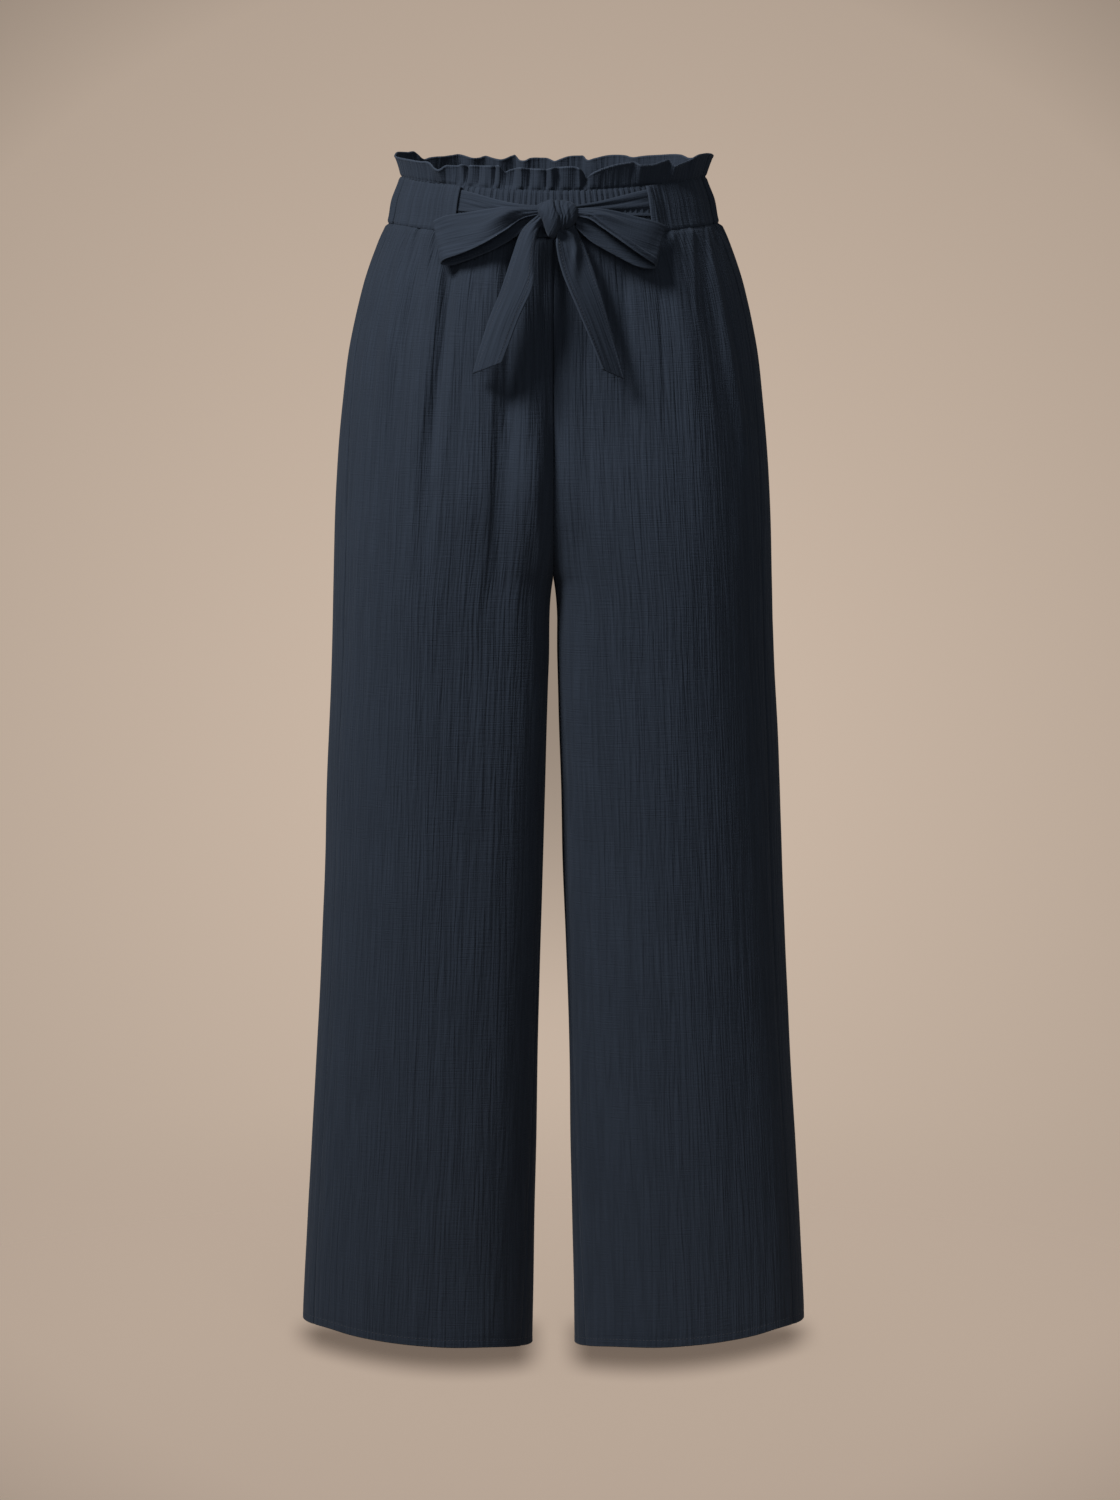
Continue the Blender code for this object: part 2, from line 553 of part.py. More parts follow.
def ruffle_waves(place, height):
    """Stand-off of the ruffle: waves that grow upward, and a flare that is widest at the sides."""
    share = height / RUFFLE_HEIGHT
    turn = np.pi / 2 * place
    at_sides = np.sin(turn) ** 8
    phase = RUFFLE_WAVES * turn + 1.1 * np.sin(3 * turn + 0.4) + 0.7 * np.sin(7 * turn)
    size = WAVE_SIZE + 0.8 * np.sin(5 * turn + 1.0) + SIDE_SWING * at_sides
    lean = FLARE + SIDE_FLARE * at_sides
    return -THIN / 2 + size * np.cos(phase) * share ** 1.2 + lean * share ** 0.8


def ruffle(name, start, end, waves, cloth):
    """Upstanding ruffle: a thin wall about its wavy middle surface, with an uneven top edge."""
    step = 1e-3
    place = np.linspace(start, end, 6 * waves + 1)[None, :]
    turn = np.pi / 2 * place
    edge = 0.8 * np.sin(14 * turn) + 0.6 * np.sin(25 * turn + 1.0)
    height = np.array([[0.0], [0.5], [1.0]]) * (RUFFLE_HEIGHT + edge)
    middle = waist_ring(place, -height, ruffle_waves(place, height))
    ahead = waist_ring(place + step, -height, ruffle_waves(place + step, height))
    behind = waist_ring(place - step, -height, ruffle_waves(place - step, height))
    round_way = ahead - behind
    out = np.stack([round_way[..., 1], -round_way[..., 0], np.zeros_like(height)], -1)
    out /= np.linalg.norm(out, axis=-1, keepdims=True)
    return closed_wall(name, middle + out * THIN / 2, middle - out * THIN / 2, cloth)


# ---------------------------------------------------------------- tie and bow
def ribbon(name, upper, lower, columns, belly, cloth):
    """Thin strip between two edges, each a list of (x, y, z), with its middle arched out by belly."""
    share = np.linspace(0.0, 1.0, columns)[None, :, None]
    upper = np.asarray(upper)[:, None, :]
    lower = np.asarray(lower)[:, None, :]
    middle = upper + (lower - upper) * share
    middle[..., 1] -= belly * 4 * share[..., 0] * (1 - share[..., 0])
    along = np.gradient(middle, axis=0)
    across = np.gradient(middle, axis=1)
    out = np.cross(along, across)
    out /= np.linalg.norm(out, axis=-1, keepdims=True)
    return closed_wall(name, middle + out * THIN / 2, middle - out * THIN / 2, cloth)


def denser(rows, count):
    """A table read at evenly spaced places between its rows, along smooth curves."""
    rows = np.asarray(rows, float)
    at = np.linspace(0, len(rows) - 1, count)
    return np.stack([curve_through(range(len(rows)), column, at) for column in rows.T], -1)


def front_points(x, level, stand_off):
    """Points in front of the body at given places across and levels."""
    return np.stack([x, body_front(x, level) - stand_off, level], -1)


def tie(side, rows, cloth):
    """Flat stretch of the tie that tapers from its slot to the knot."""
    sign = 1.0 if side == "right" else -1.0
    x, top, bottom, off = denser(rows, 9).T
    return ribbon("tie_" + side, front_points(sign * x, top, off), front_points(sign * x, bottom, off),
                  4, TIE_BELLY, cloth)


def loop(side, rows, cloth):
    """Open loop of the bow: one strip out along the front, round its end and back along the rear."""
    sign = 1.0 if side == "right" else -1.0
    x, top, bottom, off_top, off_bottom = denser(rows, 25).T
    return ribbon("loop_" + side, front_points(sign * x, top, off_top),
                  front_points(sign * x, bottom, off_bottom), 6, 0.0, cloth)


def tail(side, rows, cloth):
    """Hanging end of the tie, a little arched across, with a slanted end."""
    x_left, z_left, x_right, z_right, off = denser(rows, 14).T
    return ribbon("tail_" + side, front_points(x_left, z_left, off), front_points(x_right, z_right, off),
                  6, TAIL_BELLY, cloth)


def knot(cloth):
    """Knot: ovals set side by side across the front, with a furrow between its two wraps."""
    x, top, bottom, thick = denser(KNOT, 13).T
    turn = np.linspace(0.0, 2 * np.pi, 16, endpoint=False)
    middle, half = (top + bottom) / 2, (top - bottom) / 2
    level = middle[:, None] + half[:, None] * np.sin(turn)
    y = body_front(x, middle)[:, None] - KNOT_STAND_OFF - thick[:, None] * np.cos(turn)
    ring = np.stack([np.repeat(x[:, None], len(turn), 1), y, level], -1)
    count = len(turn)
    start = np.arange(len(x) - 1)[:, None] * count + np.arange(count)
    after = np.arange(len(x) - 1)[:, None] * count + (np.arange(count) + 1) % count
    sides = np.stack([start, after, after + count, start + count], -1).reshape(-1, 4).tolist()
    caps = [list(range(count))[::-1], [(len(x) - 1) * count + n for n in range(count)]]
    return solid("knot", ring.reshape(-1, 3) * MM, sides + caps, cloth)


def main():
    for old in list(bpy.data.objects):
        bpy.data.objects.remove(old, do_unlink=True)
    panel_cloth = material("panel_crepe", (0.026, 0.033, 0.047), 0.85)
    band_cloth = material("waistband_crepe", (0.030, 0.038, 0.053), 0.85)
    ruffle_cloth = material("ruffle_crepe", (0.024, 0.030, 0.043), 0.88)
    tie_cloth = material("tie_crepe", (0.034, 0.042, 0.058), 0.82)

    for side in ("left", "right"):
        panel(side, FRONT, panel_cloth)
        panel(side, BACK, panel_cloth)
        side_band(side, band_cloth)
    gathered_band("centre_band", -SLOT - TUCK, SLOT + TUCK, FRONT_GATHERS, band_cloth)
    gathered_band("back_band", SIDE + SEAM_TURN, 4.0 - SIDE - SEAM_TURN, BACK_GATHERS, band_cloth)
    ruffle("ruffle_front", -SIDE + SEAM_TURN, SIDE - SEAM_TURN, 15, ruffle_cloth)
    ruffle("ruffle_back", SIDE + SEAM_TURN, 4.0 - SIDE - SEAM_TURN, 20, ruffle_cloth)
    for side, rows in (("left", TIE_LEFT), ("right", TIE_RIGHT)):
        tie(side, rows, tie_cloth)
    for side, rows in (("left", LOOP_LEFT), ("right", LOOP_RIGHT)):
        loop(side, rows, tie_cloth)
    for side, rows in (("left", TAIL_LEFT), ("right", TAIL_RIGHT)):
        tail(side, rows, tie_cloth)
    knot(tie_cloth)


main()
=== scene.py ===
# %% [markdown]
# # Paperbag waist trousers
#
# These trousers are sewn from crinkled crepe: four leg panels, a waistband, an upstanding ruffle (the
# "paperbag") and a tie in a bow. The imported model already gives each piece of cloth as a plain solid
# wall. This lesson makes the cloth itself, in the same place: thin, with its folds, gathers, seams and
# stitches. It starts by loading that model, which is never moved.

import bpy
import numpy as np
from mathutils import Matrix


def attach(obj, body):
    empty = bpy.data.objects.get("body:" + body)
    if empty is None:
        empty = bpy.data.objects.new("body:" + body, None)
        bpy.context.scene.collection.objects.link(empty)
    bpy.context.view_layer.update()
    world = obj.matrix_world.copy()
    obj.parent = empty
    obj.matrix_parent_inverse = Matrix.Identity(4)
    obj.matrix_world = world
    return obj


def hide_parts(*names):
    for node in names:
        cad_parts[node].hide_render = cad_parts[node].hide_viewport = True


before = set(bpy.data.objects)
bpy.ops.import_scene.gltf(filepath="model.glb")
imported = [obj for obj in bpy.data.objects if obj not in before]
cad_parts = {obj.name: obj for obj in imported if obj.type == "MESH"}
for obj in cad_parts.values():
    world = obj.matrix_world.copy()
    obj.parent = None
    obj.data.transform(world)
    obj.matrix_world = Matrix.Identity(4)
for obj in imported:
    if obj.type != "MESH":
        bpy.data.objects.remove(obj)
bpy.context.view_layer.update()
print("fixed pieces:", len(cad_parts))

# %% [markdown]
# ## Camera, floor and light
#
# A long lens from well back keeps the legs straight, as a catalogue picture does. The floor is one big
# disc that fades out, so no horizon shows. The cloth is lit by one large soft source at the upper left
# and a weak one in front. They could be a ring of small lamps, but one area light has the same even fall
# of shade over the folds, and renders faster. The floor gets a broad even wash of its own, and the soft
# shade that the hems leave on it is painted in its material, where its edge can be shaped. The backdrop
# darkens to its corners, and where it is seen between the legs.

# %% Camera
LENS = 130.0
CAMERA_PLACE = (0.0058, -4.75, 0.0)
LOOKS_DOWN = 0.503      # how far below the camera the middle of its view meets the garment
scene = bpy.context.scene
camera = bpy.data.objects.new("camera", bpy.data.cameras.new("camera"))
camera.data.sensor_width = 36.0
camera.data.lens = LENS
camera.location = CAMERA_PLACE
camera.rotation_euler = (np.pi / 2 - np.arctan2(LOOKS_DOWN, -CAMERA_PLACE[1]), 0.0, 0.0)
scene.collection.objects.link(camera)
scene.camera = camera
scene.view_settings.view_transform = "Standard"
print("camera:", LENS, "mm lens at", CAMERA_PLACE)


# %% Small helpers for meshes and materials
def new_piece(name, points, faces, finish):
    """An object at the origin, from points in metres and lists of faces, with one material."""
    mesh = bpy.data.meshes.new(name)
    mesh.from_pydata(points.tolist(), [], faces)
    mesh.update()
    mesh.shade_smooth()
    mesh.materials.append(finish)
    piece = bpy.data.objects.new(name, mesh)
    scene.collection.objects.link(piece)
    return piece


def new_finish(name):
    """A new material, with its node tree and its shader."""
    finish = bpy.data.materials.new(name)
    finish.use_nodes = True
    return finish, finish.node_tree, finish.node_tree.nodes["Principled BSDF"]


def feed(tree, socket, value):
    """Link a socket to a socket, or set it to a plain value."""
    if isinstance(value, bpy.types.NodeSocket):
        tree.links.new(value, socket)
    else:
        socket.default_value = value


def node(tree, kind, **inputs):
    """A new node of a kind, with some inputs set or linked. Spaces in input names are underscores."""
    made = tree.nodes.new(kind)
    for name, value in inputs.items():
        feed(tree, made.inputs[int(name[1:]) if name[1:].isdigit() else name.replace("_", " ")], value)
    return made


def reckon(tree, operation, *values):
    """A Math node on numbers or sockets, as its output socket."""
    made = tree.nodes.new("ShaderNodeMath")
    made.operation = operation
    for socket, value in zip(made.inputs, values):
        feed(tree, socket, value)
    return made.outputs[0]


def mixed(tree, share, first, second):
    """A colour between two colours, as a socket."""
    made = tree.nodes.new("ShaderNodeMix")
    made.data_type = "RGBA"
    for n, value in ((0, share), (6, first), (7, second)):
        feed(tree, made.inputs[n], value)
    return made.outputs[2]


def shaded(tree, deepest, *steps):
    """A soft-edged patch: deepest times a smooth step from clear to deep for each (value, clear, deep)."""
    shade = deepest
    for value, clear, deep in steps:
        step = node(tree, "ShaderNodeMapRange", Value=value, From_Min=clear, From_Max=deep)
        step.interpolation_type = "SMOOTHSTEP"
        shade = reckon(tree, "MULTIPLY", step.outputs[0], shade)
    return shade


# %% Paper of the floor, with the shade under the hems
PAPER = (0.50, 0.395, 0.315, 1.0)
PAPER_IN_SHADE = (0.098, 0.068, 0.051, 1.0)
# distances, in metres, where the shade is clear and where it is deepest
SHADE_FROM_GAP = (0.001, 0.035)         # out from the middle of the gap between the legs
SHADE_FROM_SIDE = (0.245, 0.206)        # in from the outer sides of the hems
SHADE_FROM_FRONT = (-0.162, -0.046)     # back from in front of the hems
SHADE_FROM_BACK = (0.150, 0.040)        # forward from behind them
SHADE_MIDDLE = 0.08     # its front edge is furthest forward at this distance from the middle
SHADE_BOW = 5.6         # and curves back by this much times the squared distance from there
FLOOR_FADE = (0.75, 1.7)        # distances where the floor starts to fade out, and has gone

paper, tree, shader = new_finish("backdrop_paper")
shader.inputs["Roughness"].default_value = 1.0
shader.inputs["Specular IOR Level"].default_value = 0.0
where = node(tree, "ShaderNodeTexCoord").outputs["Object"]
floor_x, floor_y, _ = node(tree, "ShaderNodeSeparateXYZ", Vector=where).outputs
from_middle = reckon(tree, "ABSOLUTE", floor_x)
off_middle = reckon(tree, "ABSOLUTE", reckon(tree, "SUBTRACT", from_middle, SHADE_MIDDLE))
bowed = reckon(tree, "MULTIPLY_ADD", reckon(tree, "POWER", off_middle, 2.0), -SHADE_BOW, floor_y)
shade = shaded(tree, 1.0, (from_middle, *SHADE_FROM_GAP), (from_middle, *SHADE_FROM_SIDE),
               (bowed, *SHADE_FROM_FRONT), (floor_y, *SHADE_FROM_BACK))
tree.links.new(mixed(tree, shade, PAPER, PAPER_IN_SHADE), shader.inputs["Base Color"])
radius = node(tree, "ShaderNodeVectorMath", _0=where)
radius.operation = "LENGTH"
fade = shaded(tree, 1.0, (radius.outputs["Value"], *FLOOR_FADE[::-1]))
tree.links.new(fade, shader.inputs["Alpha"])
print("paper nodes:", len(tree.nodes))

# %% Floor that fades into the background
FLOOR_LEVEL = -1.037
FLOOR_RADIUS = 3.0
angle, ring = np.meshgrid(np.linspace(0, 2 * np.pi, 97)[:-1], np.linspace(0.0, FLOOR_RADIUS, 13)[1:])
points = np.stack([ring * np.cos(angle), ring * np.sin(angle), 0 * ring + FLOOR_LEVEL], -1).reshape(-1, 3)
index = np.arange(len(points)).reshape(ring.shape)
after = np.roll(index, -1, 1)
quads = np.stack([index[:-1], after[:-1], after[1:], index[1:]], -1)[..., ::-1].reshape(-1, 4).tolist()
floor = new_piece("floor", points, quads + [index[0].tolist()], paper)
print("floor faces:", len(floor.data.polygons))


# %% Lamps
def soft_light(name, place, aim, size, power):
    """A square area light at a place, turned to look at aim."""
    lamp = bpy.data.lights.new(name, "AREA")
    lamp.shape = "RECTANGLE"
    lamp.size = lamp.size_y = size
    lamp.energy = power
    made = bpy.data.objects.new(name, lamp)
    made.location = place
    x, y, z = np.array(aim) - np.array(place)
    made.rotation_euler = (np.arctan2(np.hypot(x, y), -z), 0.0, np.arctan2(-x, y))
    scene.collection.objects.link(made)
    return made


key = soft_light("key", place=(-1.58, -1.6, 1.85), aim=(0.0, 0.0, 0.0), size=0.8, power=73.5)
key.data.spread = np.radians(140.0)
wash = soft_light("floor_wash", place=(0.0, 0.3, 2.3), aim=(0.0, 0.1, -1.0), size=2.0, power=102.0)
wash.data.use_shadow = False
front = soft_light("front", place=(0.6, -4.0, 0.8), aim=(0.0, 0.0, -0.4), size=1.6, power=23.5)
for lamp, state in ((key, "EXCLUDE"), (wash, "INCLUDE")):
    group = bpy.data.collections.new(lamp.name + "_on_floor")
    group.objects.link(floor)
    group.collection_objects[0].light_linking.link_state = state
    lamp.light_linking.receiver_collection = group
print("lamps:", [(lamp.name, lamp.data.energy) for lamp in (key, wash, front)])

# %% Backdrop, and the even light from all round
BACKDROP = (0.571, 0.456, 0.366, 1.0)
EVEN_LIGHT = (0.95, 0.97, 1.0, 1.0)
EVEN_STRENGTH = 0.155
VIEW_MIDDLE = (0.0, 0.9945, -0.105)     # direction to the middle of the backdrop
# the backdrop's painted shade, darker towards its corners: angles from its middle where a step starts and
# ends, and what it multiplies by
DARKENING = ((0.045, 0.17, 0.74), (0.146, 0.174, 0.78), (0.22, 0.5, 1.0 / 0.78))
# the shade seen between the legs: its strength, and the directions where it is clear and deepest
BETWEEN_LEGS = 0.47
SHADE_ACROSS = (0.030, 0.012)
SHADE_FROM_FOOT = (-0.165, -0.095)
SHADE_FROM_CROTCH = (-0.01, -0.06)

world = bpy.data.worlds.new("studio")
world.use_nodes = True
tree = world.node_tree
tree.nodes.clear()
toward = node(tree, "ShaderNodeTexCoord").outputs["Generated"]
ahead = node(tree, "ShaderNodeVectorMath", _0=toward, _1=VIEW_MIDDLE)
ahead.operation = "DOT_PRODUCT"
aside = reckon(tree, "ARCCOSINE", ahead.outputs["Value"])
strength = 1.0
for near, far, last in DARKENING:
    step = node(tree, "ShaderNodeMapRange", Value=aside, From_Min=near, From_Max=far,
                To_Min=1.0, To_Max=last)
    strength = reckon(tree, "MULTIPLY", step.outputs[0], strength)
toward_x, _, toward_z = node(tree, "ShaderNodeSeparateXYZ", Vector=toward).outputs
shade = shaded(tree, BETWEEN_LEGS, (reckon(tree, "ABSOLUTE", toward_x), *SHADE_ACROSS),
               (toward_z, *SHADE_FROM_FOOT), (toward_z, *SHADE_FROM_CROTCH))
strength = reckon(tree, "MULTIPLY", reckon(tree, "SUBTRACT", 1.0, shade), strength)
seen = node(tree, "ShaderNodeBackground", Color=BACKDROP, Strength=strength)
lighting = node(tree, "ShaderNodeBackground", Color=EVEN_LIGHT, Strength=EVEN_STRENGTH)
choose = node(tree, "ShaderNodeMixShader", _0=node(tree, "ShaderNodeLightPath").outputs["Is Camera Ray"],
              _1=lighting.outputs[0], _2=seen.outputs[0])
node(tree, "ShaderNodeOutputWorld", Surface=choose.outputs[0])
scene.world = world
print("backdrop nodes:", len(tree.nodes))

# %% [markdown]
# ## The crinkled crepe
#
# Crepe of this kind is woven with tightly twisted threads, which shrink into fine uneven creases that
# run along the warp. A picture of the cloth could be wrapped on, but it would blur and repeat. Here
# stretched noise makes the creases at any scale, and it reads each piece's own map, in metres along the
# grain, so the creases follow every fold, and the bow's run along its ribbons.


# %% Material of the cloth
def crepe(name, crease):
    """Crepe: noise stretched along the warp for creases, finer noise across it for the weft's slubs.

    The height is a sum of fine streaks, two sets of thin valleys and the slubs. It is drawn a little
    flatter towards the hem, where the weight of the cloth pulls. The same streaks and valleys darken
    and lighten the navy: painted shade in the crease valleys and painted light away from them, with
    uneven tone from broad patches. Edges are paler, as a painted highlight.
    """
    cloth, tree, shader = new_finish(name)
    grain = node(tree, "ShaderNodeUVMap")
    grain.uv_map = "grain"

    def streaks(across, along, detail, bend=0.0):
        """Noise with features this wide and this long, in metres on the cloth."""
        stretched = node(tree, "ShaderNodeMapping", Vector=grain.outputs[0],
                         Scale=(1.0 / across, 1.0 / along, 1.0))
        noise = node(tree, "ShaderNodeTexNoise", Vector=stretched.outputs[0], Scale=1.0, Detail=detail,
                     Roughness=0.55, Distortion=bend)
        return noise.outputs[0]

    def valleys(noise, sharp):
        """0 on thin lines where the noise crosses its middle, 1 away from them."""
        off_middle = reckon(tree, "ABSOLUTE", reckon(tree, "SUBTRACT", noise, 0.5))
        return reckon(tree, "MINIMUM", reckon(tree, "MULTIPLY", off_middle, sharp), 1.0)

    def weighed(*rows):
        """Sum of patterns, each times its weight."""
        total = 0.0
        for pattern, weight in rows:
            total = reckon(tree, "MULTIPLY_ADD", pattern, weight, total)
        return total

    broad = valleys(streaks(across=0.0058, along=0.17, detail=1.0), sharp=9.0)
    narrow = valleys(streaks(across=0.0033, along=0.075, detail=1.0), sharp=6.0)
    fine = streaks(across=0.0016, along=0.030, detail=2.0, bend=0.1)
    slub = streaks(across=0.018, along=0.0011, detail=1.0)
    where = node(tree, "ShaderNodeTexCoord").outputs["Object"]
    level = node(tree, "ShaderNodeSeparateXYZ", Vector=where).outputs[2]
    drawn_flat = node(tree, "ShaderNodeMapRange", Value=level, From_Min=-0.9, From_Max=-0.45, To_Min=0.9,
                      To_Max=1.3).outputs[0]
    height = weighed((broad, 0.50), (fine, 0.75), (narrow, 0.45), (slub, 0.5))
    height = reckon(tree, "MULTIPLY", height, drawn_flat)
    relief = node(tree, "ShaderNodeBump", Height=height, Strength=0.62 * crease, Distance=0.0012)
    tree.links.new(relief.outputs[0], shader.inputs["Normal"])

    # painted shade and light: the navy is darker in the crease valleys and lighter away from them, and broad
    # patches add uneven tone
    patch = node(tree, "ShaderNodeTexNoise", Vector=where, Scale=9.0, Detail=2.0).outputs[0]
    share = weighed((broad, 0.30), (narrow, 0.30), (fine, 0.40), (patch, 0.20))
    # painted highlight: the navy is paler along the edges, where they would catch the light
    edge = node(tree, "ShaderNodeAttribute")
    edge.attribute_name = "painted_edge_highlight"
    body = mixed(tree, edge.outputs["Fac"], mixed(tree, share, DARK_NAVY, LIGHT_NAVY), HIGHLIGHT_NAVY)
    tree.links.new(body, shader.inputs["Base Color"])
    rough = node(tree, "ShaderNodeMapRange", Value=fine, To_Min=0.78, To_Max=0.95)
    tree.links.new(rough.outputs[0], shader.inputs["Roughness"])
    shader.inputs["Specular IOR Level"].default_value = 0.10
    shader.inputs["Sheen Weight"].default_value = 0.05
    shader.inputs["Sheen Roughness"].default_value = 0.5
    shader.inputs["Sheen Tint"].default_value = (0.55, 0.66, 0.85, 1.0)
    return cloth


# navy darker in the crease valleys as painted shade, lighter away from them, and paler along the edges as a
# painted highlight
NAVY = np.array([0.0180, 0.0243, 0.0360])
DARK_NAVY, LIGHT_NAVY, HIGHLIGHT_NAVY = ((*colour.tolist(), 1.0)
                                      for colour in (NAVY * 0.78, NAVY * 1.20, NAVY * 1.5 + 0.006))
panel_crepe = crepe("panel_crepe", crease=1.0)
band_crepe = crepe("band_crepe", crease=0.9)
ruffle_crepe = crepe("ruffle_crepe", crease=0.7)
tie_crepe = crepe("tie_crepe", crease=0.5)
print("nodes of the crepe:", len(panel_crepe.node_tree.nodes))

# %% Material of the thread
thread_navy, tree, shader = new_finish("thread_navy")
twist = node(tree, "ShaderNodeTexNoise", Scale=2500.0,
             Vector=node(tree, "ShaderNodeTexCoord").outputs["Object"])
tint = mixed(tree, twist.outputs[0], (0.010, 0.013, 0.020, 1.0), (0.024, 0.030, 0.043, 1.0))
tree.links.new(tint, shader.inputs["Base Color"])
shader.inputs["Roughness"].default_value = 0.6
print("nodes of the thread:", len(tree.nodes))

# %% [markdown]
# ## The form the cloth hangs on
#
# Each leg, and the body above it, is a smooth oval tube read from two short tables. A place round one
# half is `u`: -1 at the centre front or the inseam, 0 at the side, 1 at the centre back. The same
# numbers shape the fixed solids, so the new cloth lands on them. Lengths are in millimetres here, and
# become metres when a mesh is made.

# %% Tables of the form
SEAM = 0.3              # gap between two solids at a seam
BAND_HEIGHT = 40.0
FRONT_DIP = 11.6        # how far the waist seam sinks at the centre front
BACK_DIP = 3.0          # and at the centre back
RISE_LEVEL = -346.0     # the crotch
PARTING_START = -60.0   # from here down the body's oval turns into two legs
CROTCH_START = -230.0   # from here down the waist's dip has died out, and folds keep off the inseam
HEM_LEVEL = -1020.5
HEM_START = -850.0      # from here down the rows take on the slant of the hem
SIDE_SEAM = -0.15       # place of the side seam, a little in front of the side
SIDE = 1.0 + SIDE_SEAM  # the same place, counted round the waist from the centre front
INSEAM_TURN = 0.14      # how far forward the inseam has turned at the hem
SLOT = 0.389            # place of the slots for the tie, counted round the waist
SIGN = {"left": -1.0, "right": 1.0}     # left and right as seen from the front
# level, half width, depth in front, depth behind
BODY = np.array([
    [25.0, 132.5, 90.0, 94.0], [0.0, 132.8, 90.0, 94.0], [-20.0, 139.4, 94.0, 97.0],
    [-40.0, 144.2, 98.0, 101.0], [-55.0, 151.2, 101.0, 105.0], [-72.0, 158.2, 104.0, 109.0],
    [-90.0, 164.5, 107.0, 113.0], [-107.0, 169.0, 109.0, 116.0], [-142.0, 176.7, 112.0, 121.0],
    [-195.0, 183.4, 113.0, 127.0], [-247.0, 188.0, 112.0, 129.0], [-300.0, 190.8, 109.0, 126.0],
    [-346.0, 192.0, 104.0, 120.0], [-1040.0, 192.0, 104.0, 120.0],
])
# level, inner side, outer side, depth in front, depth behind
LEG = np.array([
    [25.0, 0.0, 192.0, 104.0, 113.0], [-346.0, 0.0, 192.0, 102.0, 111.0],
    [-356.0, 1.5, 192.3, 101.5, 110.0], [-423.0, 3.7, 194.3, 97.0, 105.0],
    [-503.0, 6.2, 198.0, 92.0, 99.0], [-636.0, 9.8, 202.7, 84.5, 90.0],
    [-744.0, 13.3, 207.9, 79.0, 83.0], [-851.0, 15.1, 214.2, 74.0, 77.0],
    [-933.0, 16.9, 219.4, 71.0, 72.5], [-1000.0, 18.2, 222.8, 68.0, 68.0],
    [-1040.0, 18.6, 223.6, 67.5, 67.5],
])
# share of the way across a leg from its inner side, height of the hem there
HEM_LINE = np.array([[0.0, -12.5], [0.14, -7.7], [0.39, -4.3], [0.64, 0.8], [0.77, 4.9], [0.90, 10.3],
                     [1.0, 12.0]])
print("the form is given from", BODY[0, 0], "down to", LEG[-1, 0], "mm")


# %% Smooth curves
def curve_through(knots, values, at):
    """Cubic pieces through (knots, values) with slopes from both neighbours, flat beyond the ends."""
    knots = np.asarray(knots, float)
    values = np.asarray(values, float)
    step = np.diff(knots)
    rise = np.diff(values) / step
    inner = (rise[:-1] * step[1:] + rise[1:] * step[:-1]) / (step[:-1] + step[1:])
    slope = np.concatenate([[rise[0]], inner, [rise[-1]]])
    place = np.clip(at, knots[0], knots[-1])
    piece = np.clip(np.searchsorted(knots, place) - 1, 0, len(step) - 1)
    width = step[piece]
    t = (place - knots[piece]) / width
    return ((1 + 2 * t) * (1 - t) ** 2 * values[piece] + t * (1 - t) ** 2 * width * slope[piece]
            + t * t * (3 - 2 * t) * values[piece + 1] + t * t * (t - 1) * width * slope[piece + 1])


def from_table(table, column, level):
    """One column of a table whose first column is a falling level."""
    return curve_through(table[::-1, 0], table[::-1, column], level)


def ease(t):
    """0 before 0, 1 after 1, and 3t^2 - 2t^3 between them."""
    t = np.clip(t, 0.0, 1.0)
    return t * t * (3.0 - 2.0 * t)


def below(level, start, reach):
    """0 above the start level, 1 from reach under it on: ease((start - level) / reach)."""
    return ease((start - level) / reach)


def hill(distance, width):
    """A bell: 1 at distance 0, about a third at a distance of width."""
    return np.exp(-(distance / width) ** 2)


def crinkle(across, along, width, length, seed):
    """Smooth noise about 0 with creases this wide and long: eased mixing of a grid of random heights."""
    heights = np.random.default_rng(seed).uniform(-1.0, 1.0, (257, 257))
    a, b = np.asarray(across) / width, np.asarray(along) / length
    i, j = np.floor(a).astype(int), np.floor(b).astype(int)
    s, t = ease(a - i), ease(b - j)
    i, j, k, m = i % 256, j % 256, (i + 1) % 256, (j + 1) % 256
    return ((heights[i, j] * (1 - s) + heights[k, j] * s) * (1 - t)
            + (heights[i, m] * (1 - s) + heights[k, m] * s) * t)


def crinkled(layers, across, along, seed):
    """Sum of layers of crinkle; each is its width, length, height and what it adds to the seed."""
    return sum(height * crinkle(across, along, width, length, seed + more)
               for width, length, height, more in layers)


print("half width of the body 100 mm down:", round(float(from_table(BODY, 1, -100.0)), 1), "mm")

# %% The smooth form of one half
PARTING_WIDTH = 0.6     # share of the half width, next the centre plane, that parts on a round curve
# roundness of a leg's section at its inner and its outer side, from 0.5 for an ellipse down to squarer:
# at the crotch, and then (level where it starts to change, reach, change)
INNER_CORNER = (0.17, (-430.0, 330.0, 0.19), (-700.0, 320.0, 0.16))
OUTER_CORNER = (0.5, (-650.0, 350.0, -0.16))
# share of the half width where the normal lies in the centre plane, and the reach over which it is freed
AT_CENTRE_SEAM = (0.01, 0.05)
LEVEL_NORMALS = 30.0    # under the band, over this far, the normal turns from level to the form's own


def from_centre(u):
    """How far round from the centre plane: 0 at a centre seam, 1 at the side."""
    return np.abs(np.cos(np.pi * u / 2))


def crotch_share(u, level):
    """0 where the section is half the body's oval, 1 where it is the leg's own oval."""
    drop = np.clip((PARTING_START - level) / (PARTING_START - RISE_LEVEL), 0.0, 1.0)
    at_centre = 1.0 - np.sqrt(1.0 - drop * drop)
    return at_centre + (ease(drop) - at_centre) * ease(from_centre(u) / PARTING_WIDTH)


def outer_width(level):
    """Half width of the body, and below it the outer side of a leg."""
    return np.where(level > RISE_LEVEL, from_table(BODY, 1, level), from_table(LEG, 2, level))


def roundness(corner, level):
    """The corner's value at the crotch, plus each of its changes below its level."""
    return corner[0] + sum(change * below(level, start, reach) for start, reach, change in corner[1:])


